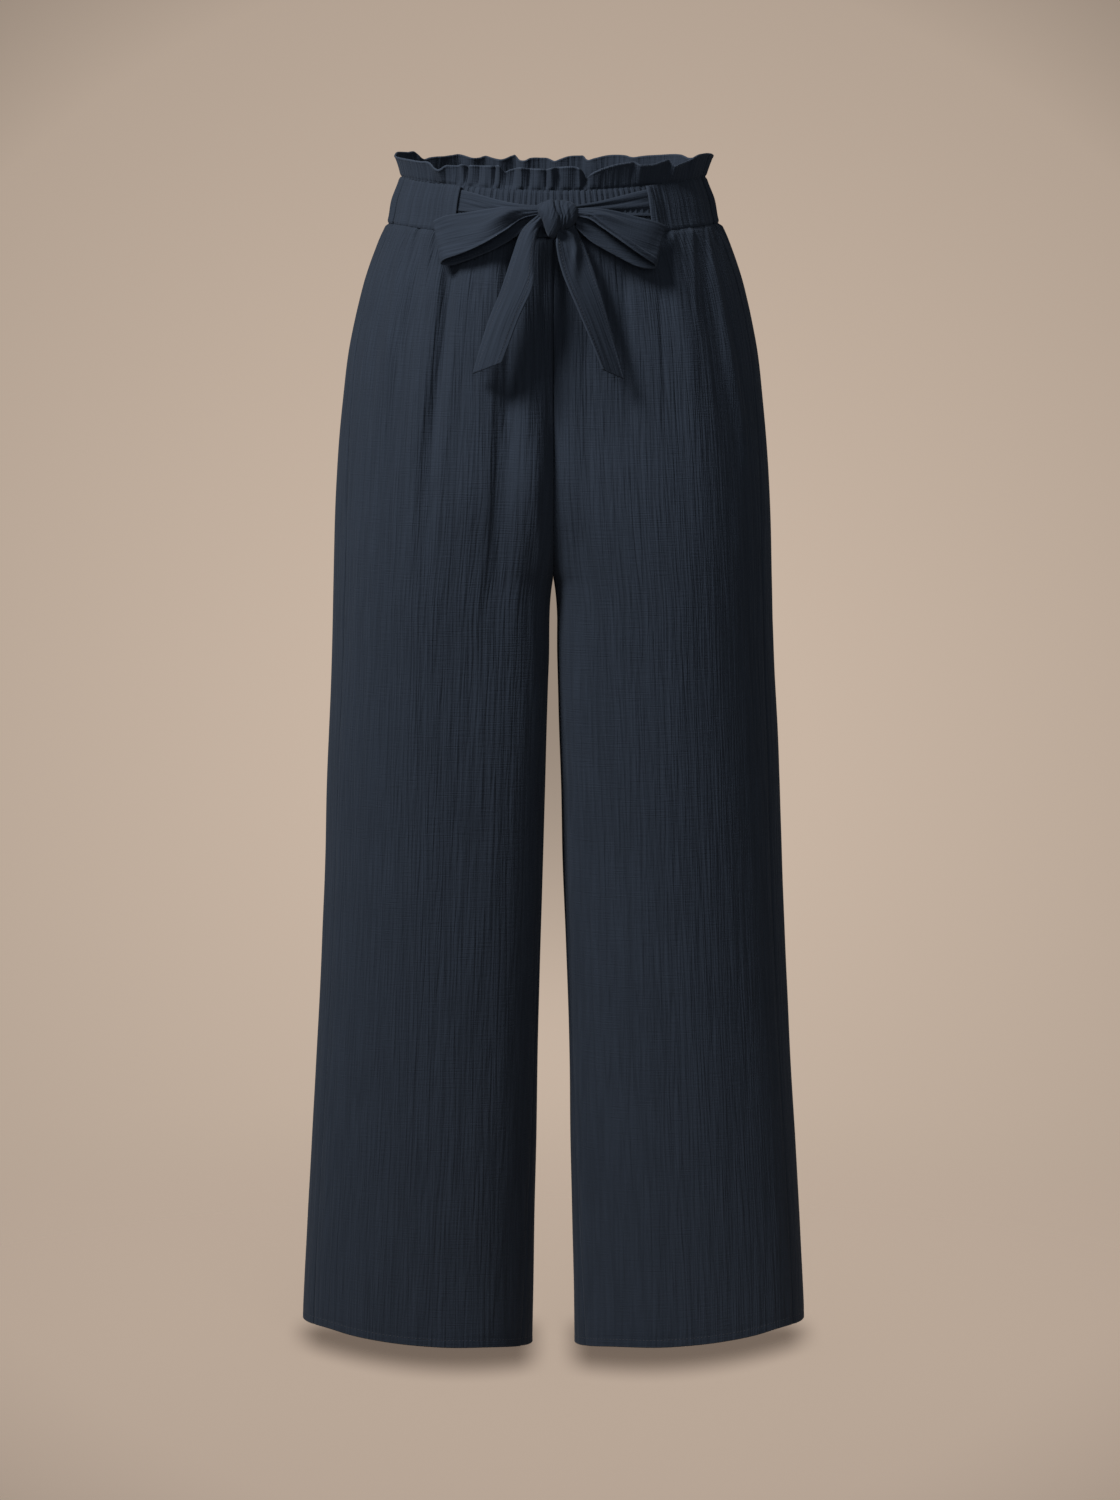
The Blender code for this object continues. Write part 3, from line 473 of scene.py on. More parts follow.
def half_body(u, level):
    """Distance from the centre plane and y: sine and cosine of the turn, blended from body to leg."""
    share = crotch_share(u, level)
    across = from_centre(u) ** (1.0 + share)
    body_depth = np.where(u < 0, -from_table(BODY, 2, level), from_table(BODY, 3, level))
    leg_depth = np.where(np.sin(np.pi * u) < 0, -from_table(LEG, 3, level), from_table(LEG, 4, level))
    body_y = body_depth * np.sqrt(np.maximum(1.0 - across * across, 0.0))
    corner = np.where(across < 0.5, roundness(INNER_CORNER, level), roundness(OUTER_CORNER, level))
    leg_y = leg_depth * np.maximum(4.0 * across * (1.0 - across), 0.0) ** corner
    inner = from_table(LEG, 1, level)
    body_x = from_table(BODY, 1, level) * across
    leg_x = inner + (outer_width(level) - inner) * across
    return SEAM / 2 + body_x + share * (leg_x - body_x), body_y + share * (leg_y - body_y)


def unit(vectors):
    """Vectors of length 1."""
    return vectors / np.maximum(np.linalg.norm(vectors, axis=-1, keepdims=True), 1e-9)


def outward(u, level):
    """Unit normal of the smooth form: level at the waistband, in the centre plane at a centre seam."""
    du, dz = 0.01, 0.5      # small steps round and up, to take the slopes over
    wraps = crotch_share(u, level) >= 1.0
    ahead = np.where(wraps, u + du, np.minimum(u + du, 1.0))
    behind = np.where(wraps, u - du, np.maximum(u - du, -1.0))
    x1, y1 = half_body(ahead, level)
    x0, y0 = half_body(behind, level)
    xb, yb = half_body(u, level + dz)
    xa, ya = half_body(u, level - dz)
    round_way = np.stack([x1 - x0, y1 - y0, np.zeros_like(x1)], -1)
    up_way = np.stack([xb - xa, yb - ya, np.full_like(xa, 2 * dz)], -1)
    out = unit(np.cross(round_way, up_way))
    facing = np.where(u < 0, -1.0, 1.0)
    on_plane = unit(np.stack([0.0 * x1, facing * up_way[..., 2], -facing * up_way[..., 1]], -1))
    held, free = AT_CENTRE_SEAM
    at_seam = (1.0 - ease((from_centre(u) - held) / free)) * (level > RISE_LEVEL + 0.01)
    out += (on_plane - out) * at_seam[..., None]
    out[..., 2] *= below(level, -BAND_HEIGHT - FRONT_DIP, LEVEL_NORMALS)
    return unit(out)


def true_level(u, nominal):
    """Level of a point on a row: the dip of the waist and of the hem die out along the panel."""
    dip = -np.where(u < 0, FRONT_DIP, BACK_DIP) * np.sin(np.pi * u / 2) ** 2
    hem = curve_through(HEM_LINE[:, 0], HEM_LINE[:, 1], from_centre(u) ** 2)
    near_waist = ease((nominal - CROTCH_START) / (-BAND_HEIGHT - CROTCH_START))
    return nominal + dip * near_waist + hem * below(nominal, HEM_START, HEM_START - HEM_LEVEL)


def body_front(across, level):
    """y of the body's oval in front, at a distance from the centre plane."""
    way = np.clip(np.abs(across) / from_table(BODY, 1, level), 0.0, 0.999)
    return -from_table(BODY, 2, level) * np.sqrt(1.0 - way * way)


print("hip half width at -195:", round(float(half_body(np.array(0.0), np.array(-195.0))[0]), 1), "mm")

# %% [markdown]
# ## Turning points into cloth
#
# Every piece is a thin closed wall between an outer grid of points and an inner one, which is what real
# cloth is. Blender's Solidify modifier could thicken a single sheet, but building both grids here lets
# the hems be thicker than the rest, and keeps the edges clean.


# %% Walls of cloth
def facing(grid):
    """Unit normals of a grid of points: the cross product of its steps along rows and down columns."""
    return unit(np.cross(np.gradient(grid, axis=1), -np.gradient(grid, axis=0)))


def cloth_wall(name, outer, inner, grain, highlight, cloth):
    """Closed wall between two grids; grain is where each point lies on the flat cloth, in mm."""
    rows, columns = outer.shape[:2]
    count = rows * columns
    points = np.concatenate([outer.reshape(-1, 3), inner.reshape(-1, 3)]) * 0.001
    index = np.arange(count).reshape(rows, columns)
    face = np.stack([index[:-1, :-1], index[:-1, 1:], index[1:, 1:], index[1:, :-1]], -1).reshape(-1, 4)
    rim = np.concatenate([index[0, :], index[1:, -1], index[-1, -2::-1], index[-2:0:-1, 0]])
    following = np.roll(rim, -1)
    edge = np.stack([following, rim, rim + count, following + count], -1)
    faces = np.concatenate([face, face[:, ::-1] + count, edge])
    a, b, c, d = (points[faces[:, n]] for n in range(4))
    volume = (np.einsum("ij,ij->i", a, np.cross(b, c)) + np.einsum("ij,ij->i", a, np.cross(c, d))).sum()
    if volume < 0:
        faces = faces[:, ::-1]
    mesh = bpy.data.meshes.new(name)
    mesh.vertices.add(len(points))
    mesh.vertices.foreach_set("co", points.astype(np.float32).ravel())
    mesh.loops.add(faces.size)
    mesh.loops.foreach_set("vertex_index", faces.astype(np.int32).ravel())
    mesh.polygons.add(len(faces))
    mesh.polygons.foreach_set("loop_start", np.arange(0, faces.size, 4, dtype=np.int32))
    mesh.update(calc_edges=True)
    mesh.validate()
    mesh.shade_smooth()
    flat = np.tile(grain.reshape(-1, 2) * 0.001, (2, 1)).astype(np.float32)
    mesh.uv_layers.new(name="grain").uv.foreach_set("vector", flat[faces.ravel()].ravel())
    # share of painted highlight along the edges, stored for the material
    highlit = np.tile(np.broadcast_to(highlight, (rows, columns)).ravel(), 2).astype(np.float32)
    mesh.attributes.new("painted_edge_highlight", "FLOAT", "POINT").data.foreach_set("value", highlit)
    mesh.materials.append(cloth)
    piece = bpy.data.objects.new(name, mesh)
    scene.collection.objects.link(piece)
    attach(piece, "root")
    print(name, len(faces), "faces")
    return piece


def grain_of(across, along):
    """Where each point lies on the flat cloth, from two arrays that may be one row or one column."""
    return np.stack(np.broadcast_arrays(across, along), -1)


def rounded(wall, from_edge, reach, least):
    """A wall that is rounded off: least of it at the edge, and all of it from reach on."""
    return wall * (least + (1.0 - least) * ease(from_edge / reach))


def lengths(grid, axis):
    """Distance travelled along the rows (axis 1) or down the columns (axis 0) of a grid."""
    step = np.linalg.norm(np.diff(grid, axis=axis), axis=-1)
    return np.insert(np.cumsum(step, axis=axis), 0, 0.0, axis=axis)


# %% [markdown]
# ## Folds of the leg panels
#
# Under the waistband the fulness of the cloth falls in long soft folds that fade below the hips. A cloth
# simulation could find such folds, but not these ones in their places. So each fold is a line in a table:
# its distance from the centre plane under the waistband, the same 200 mm lower, the level where it has
# died away, and its height, with furrows below 0. Between the lines the height eases from one to the
# next. A second table adds narrow creases.

# %% Tables of folds and creases
FRONT, BACK = 1, 2
LOWER_BY = 200.0
# across under the waistband, across 200 lower, level where it has died away, height, FRONT or BACK
FOLDS = {
    "left": [
        (0.0, 0.0, -420.0, -2.0, 1), (25.0, 27.0, -460.0, 2.4, 1), (37.0, 47.0, -460.0, -5.4, 1),
        (48.0, 62.0, -440.0, 2.0, 1), (57.0, 75.0, -440.0, 3.0, 1), (66.0, 87.0, -400.0, 2.3, 1),
        (74.0, 99.0, -360.0, 3.0, 1), (83.0, 110.0, -380.0, -3.8, 1), (93.0, 121.0, -340.0, 2.8, 1),
        (114.0, 144.0, -320.0, -1.6, 1), (127.0, 158.0, -300.0, 1.4, 1), (134.0, 171.0, -260.0, -1.4, 1),
        (142.0, 178.0, -300.0, 1.6, 2), (132.0, 163.0, -300.0, -2.4, 2), (119.0, 144.0, -330.0, 2.6, 2),
        (104.0, 122.0, -350.0, -3.0, 2), (86.0, 100.0, -380.0, 3.2, 2), (67.0, 76.0, -360.0, -3.2, 2),
        (46.0, 51.0, -390.0, 3.0, 2), (24.0, 26.0, -360.0, -2.6, 2), (0.0, 0.0, -420.0, -0.8, 2),
    ],
    "right": [
        (0.0, 0.0, -420.0, -2.0, 1), (46.0, 60.0, -420.0, 1.0, 1), (60.0, 82.0, -360.0, -1.2, 1),
        (80.0, 94.0, -340.0, -1.2, 1), (92.0, 110.0, -340.0, -2.0, 1), (103.0, 130.0, -380.0, 1.6, 1),
        (113.0, 141.0, -360.0, 1.4, 1), (125.0, 163.0, -340.0, -1.4, 1), (131.0, 170.0, -300.0, 1.0, 1),
        (136.0, 177.0, -260.0, -1.0, 1),
        (142.0, 178.0, -300.0, 1.6, 2),
        (131.0, 161.0, -310.0, -2.6, 2), (116.0, 139.0, -340.0, 2.8, 2), (99.0, 117.0, -360.0, -3.2, 2),
        (81.0, 93.0, -370.0, 3.0, 2), (63.0, 71.0, -380.0, -3.0, 2), (43.0, 47.0, -370.0, 3.2, 2),
        (21.0, 23.0, -390.0, -2.4, 2), (0.0, 0.0, -420.0, -0.8, 2),
    ],
}
# across under the waistband, across 200 lower, top level, foot level, half width, height
CREASES = {
    "left": [(116.5, 165.0, -40.0, -80.0, 1.6, -2.4), (141.0, 156.0, -40.0, -80.0, 2.6, -1.0),
             (99.5, 138.0, -40.0, -102.0, 2.0, -2.6), (106.0, 118.0, -40.0, -150.0, 3.2, 0.9),
             (88.0, 112.0, -70.0, -330.0, 3.5, -1.2), (80.0, 104.0, -90.0, -260.0, 3.0, 0.8),
             (54.0, 53.0, -130.0, -420.0, 3.6, -1.3), (47.0, 45.0, -150.0, -330.0, 2.8, -0.7),
             (40.0, 37.0, -90.0, -300.0, 3.0, 0.7), (12.0, 10.0, -90.0, -330.0, 3.5, -1.0),
             (68.0, 74.0, -80.0, -240.0, 3.0, -0.7), (127.0, 150.0, -42.0, -120.0, 2.2, -0.9)],
    "right": [(103.0, 112.0, -40.0, -90.0, 2.6, 0.9), (109.0, 120.0, -40.0, -120.0, 2.2, -0.9),
              (118.0, 131.0, -40.0, -150.0, 2.6, 0.8), (131.0, 147.0, -40.0, -100.0, 2.6, -0.9),
              (32.0, 33.0, -120.0, -300.0, 3.4, -0.7), (60.0, 72.0, -80.0, -300.0, 3.2, -1.0),
              (71.0, 78.0, -90.0, -270.0, 2.8, 0.5), (91.0, 102.0, -90.0, -300.0, 3.2, -0.9),
              (122.0, 150.0, -90.0, -280.0, 3.4, -0.8)],
}

# %% Height of the folds
FOLD_TOP = 0.3              # share of its height that a fold has where it leaves the waistband
FOLD_GROWS = 50.0           # how far down it has grown to its whole height
FADE_FROM = 0.45            # share of the way to its foot where it starts to fade
OFF_INSEAM = (0.6, 0.3)     # share of the way round where folds start to keep off the inseam, and reach
HALF_ROUND = 250.0          # about the length, in mm, of one unit of place round the half


def turn_of(which, at_waist, lower, level):
    """Place round the half of a line on a panel, given by its distance from the centre at two heights."""
    across = at_waist + (lower - at_waist) * np.clip((-BAND_HEIGHT - level) / LOWER_BY, 0.0, 1.0)
    place = 2.0 / np.pi * np.arccos(np.clip(across / from_table(BODY, 1, level), 0.0, 0.999))
    return -place if which == FRONT else place


def fold_height(side, u, line_u, line_level, level):
    """Height of the folds: it eases from line to line round the half, and is none at the inseam."""
    grow = FOLD_TOP + (1.0 - FOLD_TOP) * below(level, -BAND_HEIGHT, FOLD_GROWS)
    places, heights = [], []
    for at_waist, lower, foot, height, which in FOLDS[side]:
        places.append(turn_of(which, at_waist, lower, line_level))
        heights.append(height * grow * (1.0 - ease((level / foot - FADE_FROM) / (1.0 - FADE_FROM))))
    total = heights[0]
    for n in range(len(places) - 1):
        step = heights[n + 1] - heights[n]
        total = total + step * ease((line_u - places[n]) / (places[n + 1] - places[n]))
    start, reach = OFF_INSEAM
    under = below(level, CROTCH_START, CROTCH_START - RISE_LEVEL)
    return total * (1.0 - under * ease((np.abs(u) - start) / reach))


def crease_height(side, which, u, line_level, level):
    """Narrow creases: a bell across each line, that grows in and dies out along it."""
    total = np.zeros_like(u)
    for at_waist, lower, top, foot, width, height in CREASES[side]:
        place = turn_of(which, at_waist, lower, line_level)
        share = (top - level) / (top - foot)
        along = ease(share / 0.15 + 0.4) * (1.0 - ease((share - 0.4) / 0.6))
        total += height * along * hill((u - place) * HALF_ROUND, width)
    return total


round_half = np.linspace(-1.0, 1.0, 401)
hip = np.full(401, -160.0)
for side in SIGN:
    height = fold_height(side, round_half, round_half, hip, hip)
    print(side, "folds at the hip: from", round(height.min(), 1), "to", round(height.max(), 1), "mm")

# %% [markdown]
# ## Leg panels
#
# The front and the back panel of a leg meet at the side seam and the inseam, and the hem is turned up and
# stitched. The top edge goes up behind the waistband, as a seam allowance does. A panel could be drawn as
# a flat pattern and draped by a cloth simulation. Here it is one grid of points, places round the half by
# levels, pushed out along the form's normal, so each fold stays where its table puts it. At every seam the
# last few millimetres dip in, which draws the dark line of a real seam. Short puckers hang from the band.

# %% Points of a panel
CLOTH = 1.0
HEM_CLOTH = 1.9             # two layers, pressed flat
HEM_TURN_UP = 19.0
HEM_STITCHES_UP = 6.5
WAIST_TOP = -BAND_HEIGHT - SEAM
COLUMNS = 138
NEAR_TOP = WAIST_TOP - np.array([-6.5, -4.5, -2.5, -1.2, -0.6, 0.0, 0.7, 1.5, 2.6, 4.2, 6.4])
NEAR_HEM = HEM_LEVEL + np.array([6.6, 5.4, 4.2, 3.0, 1.8, 0.8, 0.0])
ROWS = np.concatenate([NEAR_TOP, np.linspace(WAIST_TOP - 9.0, HEM_LEVEL + 9.0, 226), NEAR_HEM])[:, None]
DOWN = WAIST_TOP - ROWS     # distance under the band's seam, and above the hem
UP = ROWS - HEM_LEVEL
HIP_LENGTHS = lengths(np.stack(half_body(round_half, hip), -1)[None], 1)[0]
panel_wall = CLOTH + (HEM_CLOTH - CLOTH) * (1.0 - ease((UP - HEM_TURN_UP) / 1.5))
panel_wall = rounded(panel_wall, UP, reach=1.2, least=0.45)


def panel_places(which):
    """Place round the half of each point: even steps from edge to edge, and the inseam turns forward."""
    turn = INSEAM_TURN * np.clip((RISE_LEVEL - ROWS) / (RISE_LEVEL - HEM_LEVEL), 0.0, 1.0) ** 1.6
    first, last = (-1.0 + turn, SIDE_SEAM) if which == FRONT else (SIDE_SEAM, 1.0 + turn)
    return first + (last - first) * np.linspace(0.0, 1.0, COLUMNS + 1)


print("a panel has", len(ROWS), "rows of", COLUMNS + 1, "points")
print("round one half at the hip:", round(HIP_LENGTHS[-1]), "mm")

# %% Height of a panel's cloth
# layers of crinkle: width, length, height, what it adds to the seed
PUCKERS = ((4.2, 60.0, 1.0, 0), (8.5, 90.0, 0.6, 40))
FINE_CREASES = ((4.6, 62.0, 1.0, 80), (9.0, 120.0, 0.7, 120))
BROAD_WAVES = ((34.0, 260.0, 0.9, 160),)
PUCKER_HEIGHT = 1.5
FINE_HEIGHT = 0.30
BEHIND_BAND = -2.7          # how far back the edge stands where it goes up behind the band


def panel_height(side, which, seed, u, line_u, level, across, on_cloth):
    """Distance off the smooth form: folds + creases + puckers + crinkle - the dips at seams and stitches."""
    line_level = np.maximum(level, CROTCH_START)
    from_edge = np.minimum(across, across[:, -1:] - across)
    height = fold_height(side, u, line_u, line_level, level)
    height += crease_height(side, which, line_u, line_level, level)
    fulness = 1.0 if which == BACK else 0.55 + 0.45 * hill(across, 90.0)
    pucker = crinkled(PUCKERS, across, DOWN, seed) * hill(DOWN, 34.0) * ease(DOWN / 3.0)
    height += PUCKER_HEIGHT * fulness * pucker
    fine = crinkled(FINE_CREASES, on_cloth, DOWN, seed)
    height += FINE_HEIGHT * fine * ease(from_edge / 8.0) * ease(UP / 14.0)
    height += crinkled(BROAD_WAVES, on_cloth, DOWN, seed) * ease(DOWN / 120.0) * ease(UP / 90.0)
    seam_dip = 0.6 * hill(from_edge, 1.7) + 1.2 * hill(DOWN, 1.6)
    height -= seam_dip + 0.25 * hill(UP - HEM_STITCHES_UP, 0.8)
    return height + (BEHIND_BAND - height) * ease(-DOWN / 1.2)


# %% How the front hangs
# level where it starts, reach
HOLLOW_STARTS = (-48.0, 50.0)       # the hollow in the middle of the front, under the waistband
HOLLOW_ENDS = (-190.0, 110.0)
SWELL_STARTS = (-150.0, 120.0)      # the fuller hang of the left leg
SWELL_NARROWS = (-270.0, 90.0)
SWELL_FADES = (-262.0, 105.0)
SWELL = 13.5                        # how far forward it hangs at most


def front_sag(side, level, x, y, part_way, from_inside):
    """Shift in y of a front panel: back in the hollow, and on the left forward where it hangs fuller."""
    drawn_in = below(level, *HOLLOW_STARTS) * (1.0 - below(level, *HOLLOW_ENDS))
    if side == "right":
        hollow = 14.0 * hill(x, 20.0) + 11.0 * hill(x - 34.0, np.where(x < 34.0, 22.0, 50.0))
        return hollow * drawn_in
    lower = below(level, *SWELL_NARROWS)
    swell = hill(part_way - 0.12 + 0.07 * lower, 0.30 - 0.07 * lower) * ease((-y - 10.0) / 50.0)
    swell = swell * ease(from_inside / (24.0 - 14.0 * lower))
    swell = swell * below(level, *SWELL_STARTS) * (1.0 - 0.75 * below(level, *SWELL_FADES))
    return 15.0 * hill(x, 27.0) * drawn_in - SWELL * swell


# %% Make the panels
EDGE_KEEPS_BACK = 0.05      # from the side seam and the inseam
PAST_CENTRE = 0.1           # how far a centre seam's edge reaches past the centre plane


def panel(side, which, word):
    """One leg panel: the smooth form, plus its height along the normal, plus the sag of the front."""
    u = panel_places(which)
    level = true_level(u, ROWS)
    x, y = half_body(u, level)
    out = outward(u, level)
    smooth = np.stack([x, y, level], -1)
    inner_side = from_table(LEG, 1, level)
    part_way = np.clip((x - SEAM / 2 - inner_side) / (outer_width(level) - inner_side), 0.0, 1.0)
    line_u = np.sign(u) * 2.0 / np.pi * np.arccos(part_way)
    on_cloth = np.interp(line_u, round_half, HIP_LENGTHS)
    seed = 10 * (side == "right") + which
    height = panel_height(side, which, seed, u, line_u, level, lengths(smooth, 1), on_cloth)
    surface = smooth + out * height[..., None]
    if which == FRONT:
        surface[..., 1] += front_sag(side, level, x, y, part_way, x - inner_side)

    centre = 0 if which == FRONT else -1
    seam_side = np.zeros_like(u)
    seam_side[:, 0] = 1.0
    seam_side[:, -1] = -1.0
    seam_side[:, centre] *= ROWS[:, 0] <= RISE_LEVEL
    surface += unit(np.cross([0.0, 0.0, 1.0], out)) * (seam_side * EDGE_KEEPS_BACK)[..., None]
    inner = surface - out * np.broadcast_to(panel_wall, u.shape)[..., None]
    for grid in (surface, inner):
        grid[..., 0] = np.maximum(grid[..., 0], -PAST_CENTRE)
        grid[ROWS[:, 0] > RISE_LEVEL, centre, 0] = -PAST_CENTRE
    surface[..., 0] *= SIGN[side]
    inner[..., 0] *= SIGN[side]
    grain = grain_of(on_cloth + 400.0 * seed, DOWN)
    # painted highlight along the folded hem edge
    highlight = 0.5 * hill(UP, 0.9)
    return cloth_wall(word + "_leg_" + side, surface, inner, grain, highlight, panel_crepe), surface


legs = {}
for side in ("left", "right"):
    for which, word in ((FRONT, "front"), (BACK, "back")):
        piece, surface = panel(side, which, word)
        legs[word, side] = surface
        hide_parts(word + "_panel_" + side)

# %% [markdown]
# ## Waistband
#
# The band has four parts. At each side of the front it lies smooth, and its free edge makes the slot that
# the tie comes out of. Between the slots, and all along the back, elastic gathers it into narrow upright
# pleats. They could be modelled one by one, but real gathers are never even and there are about a
# hundred of them, so the pleats are a sine whose phase and height wander, on an oval ring round the waist.


# %% The ring of the waist
def waist_ring(place, drop, stand_off):
    """Points round the waist: an oval for each level, place 0 at centre front and 2 at centre back."""
    place, drop, stand_off = np.broadcast_arrays(place, drop, stand_off)
    turn = np.pi / 2 * place
    front = np.cos(turn) > 0
    level = -np.where(front, FRONT_DIP, BACK_DIP) * np.cos(turn) ** 2 - drop
    half_width = from_table(BODY, 1, level)
    depth = np.where(front, from_table(BODY, 2, level), from_table(BODY, 3, level))
    out = np.stack([np.sin(turn) * depth, -np.cos(turn) * half_width], -1)
    out /= np.linalg.norm(out, axis=-1, keepdims=True)
    x = half_width * np.sin(turn) + out[..., 0] * stand_off
    y = -depth * np.cos(turn) + out[..., 1] * stand_off
    return np.stack([x, y, level], -1)


def pleats(distance, pitch, seed, wander=1.4):
    """Uneven upright gathers from 0 to 1: a raised sine whose phase and size follow slow noise."""
    zero = 0.0 * distance
    phase = 2 * np.pi * distance / pitch + wander * crinkle(distance, zero, 4.0 * pitch, 1.0, seed)
    size = 0.75 + 0.35 * crinkle(distance, zero, 2.3 * pitch, 1.0, seed + 7)
    return size * (0.5 + 0.5 * np.cos(phase)) ** 0.8


def around(start, end, apart):
    """Places round the waist about so many millimetres apart, and the distance travelled at each."""
    dense = np.linspace(start, end, 2001)
    ring = waist_ring(dense, BAND_HEIGHT / 2, 0.0)
    travelled = lengths(ring[None], 1)[0]
    count = int(travelled[-1] / apart) + 1
    distance = np.linspace(0.0, travelled[-1], count)
    return np.interp(distance, travelled, dense)[None, :], distance[None, :]


BAND_DROPS = np.concatenate([[SEAM, 0.8, 1.6, 2.8], np.linspace(4.2, 35.8, 24),
                             [37.4, 38.6, 39.4, BAND_HEIGHT]])[:, None]


def seam_dips(drop):
    """How far a band sinks at its upper and its lower seam."""
    return 1.0 * hill(drop - SEAM, 1.3) + 1.1 * hill(BAND_HEIGHT - drop, 1.3)


print("round the waist, in the middle of the band:", round(around(0.0, 4.0, 1.0)[1][0, -1]), "mm")

# %% Gathered parts of the band
INNER_FACE = -1.6       # where the band's inner face lies, off the ring
BEHIND_SIDES = 0.043    # how far round the gathered middle runs on behind the side bands
END_GAP = 0.002         # how far round a piece's end keeps off the side seam


def gathered_band(name, start, end, pitch, depth, seed):
    """Band raised in uneven gathers, fullest at mid height, that lean a little, over a plain inner face."""
    place, distance = around(start, end, apart=0.85)
    drop = BAND_DROPS
    lean = distance + 1.2 * crinkle(distance, drop, 18.0, 30.0, seed + 3)
    fullest = 0.82 + 0.18 * np.cos(np.pi * (drop / BAND_HEIGHT - 0.5) * 2)
    crest = depth * pleats(lean, pitch, seed, wander=2.4) * fullest
    crest = crest + 0.18 * crinkle(distance, drop, 2.6, 16.0, seed + 11) - seam_dips(drop)
    outer = waist_ring(place, drop, crest)
    inner = waist_ring(place, drop, INNER_FACE)
    piece = cloth_wall(name, outer, inner, grain_of(distance * 1.5, drop), 0.0, band_crepe)
    return piece


centre_band = gathered_band("centre_band_cloth", -SLOT - BEHIND_SIDES, SLOT + BEHIND_SIDES,
                            pitch=5.2, depth=2.2, seed=21)
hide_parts("centre_band")
back_band = gathered_band("back_band_cloth", SIDE + END_GAP, 4.0 - SIDE - END_GAP,
                          pitch=6.4, depth=1.9, seed=33)
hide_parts("back_band")

# %% Smooth sides of the band
SLOT_LIFT = 4.9         # how far the free edge stands off, over the tie
# upright creases by the right slot: distance from its edge, height
SLOT_CREASES = ((5.2, 0.9), (9.6, 0.7), (14.4, 0.55), (20.5, 0.45))


def side_band(side):
    """Smooth part of the band with a few upright creases by the slot, whose edge lifts over the tie."""
    place, distance = around(SLOT, SIDE - END_GAP, apart=0.9)
    drop = BAND_DROPS
    lift = SLOT_LIFT * (1.0 - ease((distance - 1.5) / 17.0))
    height = crinkled(((3.4, 45.0, 0.32, 0), (8.0, 60.0, 0.30, 4)), distance, drop, 50 + (side == "right"))
    if side == "right":
        lean = distance - 0.10 * (drop - 20.0)
        for at, size in SLOT_CREASES:
            height = height + size * hill(lean - at, 1.5)
    height = height - seam_dips(drop) - 0.4 * hill(distance[:, -1:] - distance, 1.1)
    outer = waist_ring(SIGN[side] * place, drop, lift + height)
    wall = 1.5 - 0.6 * hill(distance, 0.8)
    inner = waist_ring(SIGN[side] * place, drop, lift + height - wall)
    # painted highlight along the free edge at the slot
    highlight = 0.45 * hill(distance, 0.9)
    piece = cloth_wall("front_band_" + side, outer, inner, grain_of(distance, drop), highlight, band_crepe)
    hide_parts("side_band_" + side)


side_band("left")
side_band("right")

# %% [markdown]
# ## Ruffle
#
# The heading above the band is what makes a paperbag waist: cloth that was left standing when the band
# was gathered. Its base shares the band's narrow gathers, and its top edge opens out of them into
# wider waves. Noise could make such waves, but these have their own places, so they are a table of the
# top edge. Below the edge the surface eases from one pattern to the other.

# %% Tables of the top edge
# distance from the centre plane, height above the seam, how far the edge stands out
EDGE_FRONT = [
    (-115.0, 16.4, 4.6), (-109.0, 16.9, 6.0), (-106.4, 15.6, 7.4), (-102.8, 12.0, 9.2), (-98.7, 12.3, 9.0),
    (-94.6, 15.2, 6.0), (-88.0, 16.2, 2.4), (-83.4, 16.5, 1.6), (-78.6, 18.1, 2.8), (-75.3, 17.2, -1.4),
    (-71.6, 18.1, 2.4), (-66.5, 18.3, 1.8), (-62.3, 18.4, -1.4), (-58.0, 18.8, 2.0), (-52.8, 19.1, 2.2),
    (-49.6, 19.2, -0.4), (-46.6, 19.2, 4.6), (-43.6, 15.6, 1.4), (-37.4, 16.7, -0.6), (-32.6, 18.2, -2.2),
    (-28.0, 18.8, 6.0), (-23.0, 18.4, 4.0), (-18.0, 18.1, 2.0), (-11.0, 18.1, 5.2), (-5.6, 17.9, 3.6),
    (-2.2, 18.8, 8.0), (1.6, 19.5, 5.4), (7.0, 19.8, 6.0), (12.5, 20.0, 7.2), (21.3, 18.9, 6.6),
    (26.0, 15.0, 2.4), (28.8, 9.8, -1.0), (32.2, 12.8, 5.0), (38.0, 15.6, 8.4), (47.9, 18.8, 9.0),
    (59.7, 20.8, 9.4), (66.0, 21.2, 9.0), (71.0, 21.0, 7.4), (75.7, 18.4, 10.0), (79.5, 17.8, 10.2),
    (85.2, 17.6, 8.2), (92.0, 18.6, 8.2), (97.4, 19.8, 7.8), (102.0, 19.0, 6.8), (106.2, 14.7, 9.4),
    (109.5, 15.0, 8.8), (113.4, 15.8, 6.0),
]
EDGE_BACK = [
    (119.9, 17.0, 2.0), (112.6, 20.2, 3.5), (106.5, 20.8, 4.0), (95.2, 20.6, 1.0), (79.8, 20.0, -2.0),
    (74.0, 19.2, -3.2), (69.4, 19.4, 1.0), (64.4, 21.0, 4.0), (58.2, 21.6, 3.0), (46.8, 21.2, 0.0),
    (40.0, 19.6, -2.4), (36.6, 18.8, -3.0), (29.4, 18.2, 2.0), (26.8, 21.2, 4.6), (23.2, 21.4, 3.6),
    (13.0, 20.8, -0.5), (5.8, 18.4, -3.0), (1.0, 16.8, -1.0), (-5.0, 19.2, 3.4), (-11.2, 19.6, 3.0),
    (-21.1, 19.2, -1.4), (-27.0, 17.0, -3.4), (-31.0, 18.0, 2.0), (-34.0, 21.6, 4.6), (-37.2, 21.2, 3.0),
    (-43.0, 18.8, -1.6), (-47.0, 17.8, -3.0), (-55.1, 19.2, 1.0), (-59.9, 20.6, 3.6), (-65.9, 19.0, 0.4),
    (-75.0, 18.8, -3.0), (-82.0, 21.2, 3.2), (-90.9, 20.4, 2.0), (-98.0, 19.2, -1.0), (-105.0, 18.6, -2.0),
    (-110.5, 17.6, -0.6), (-114.8, 16.0, 0.0),
]
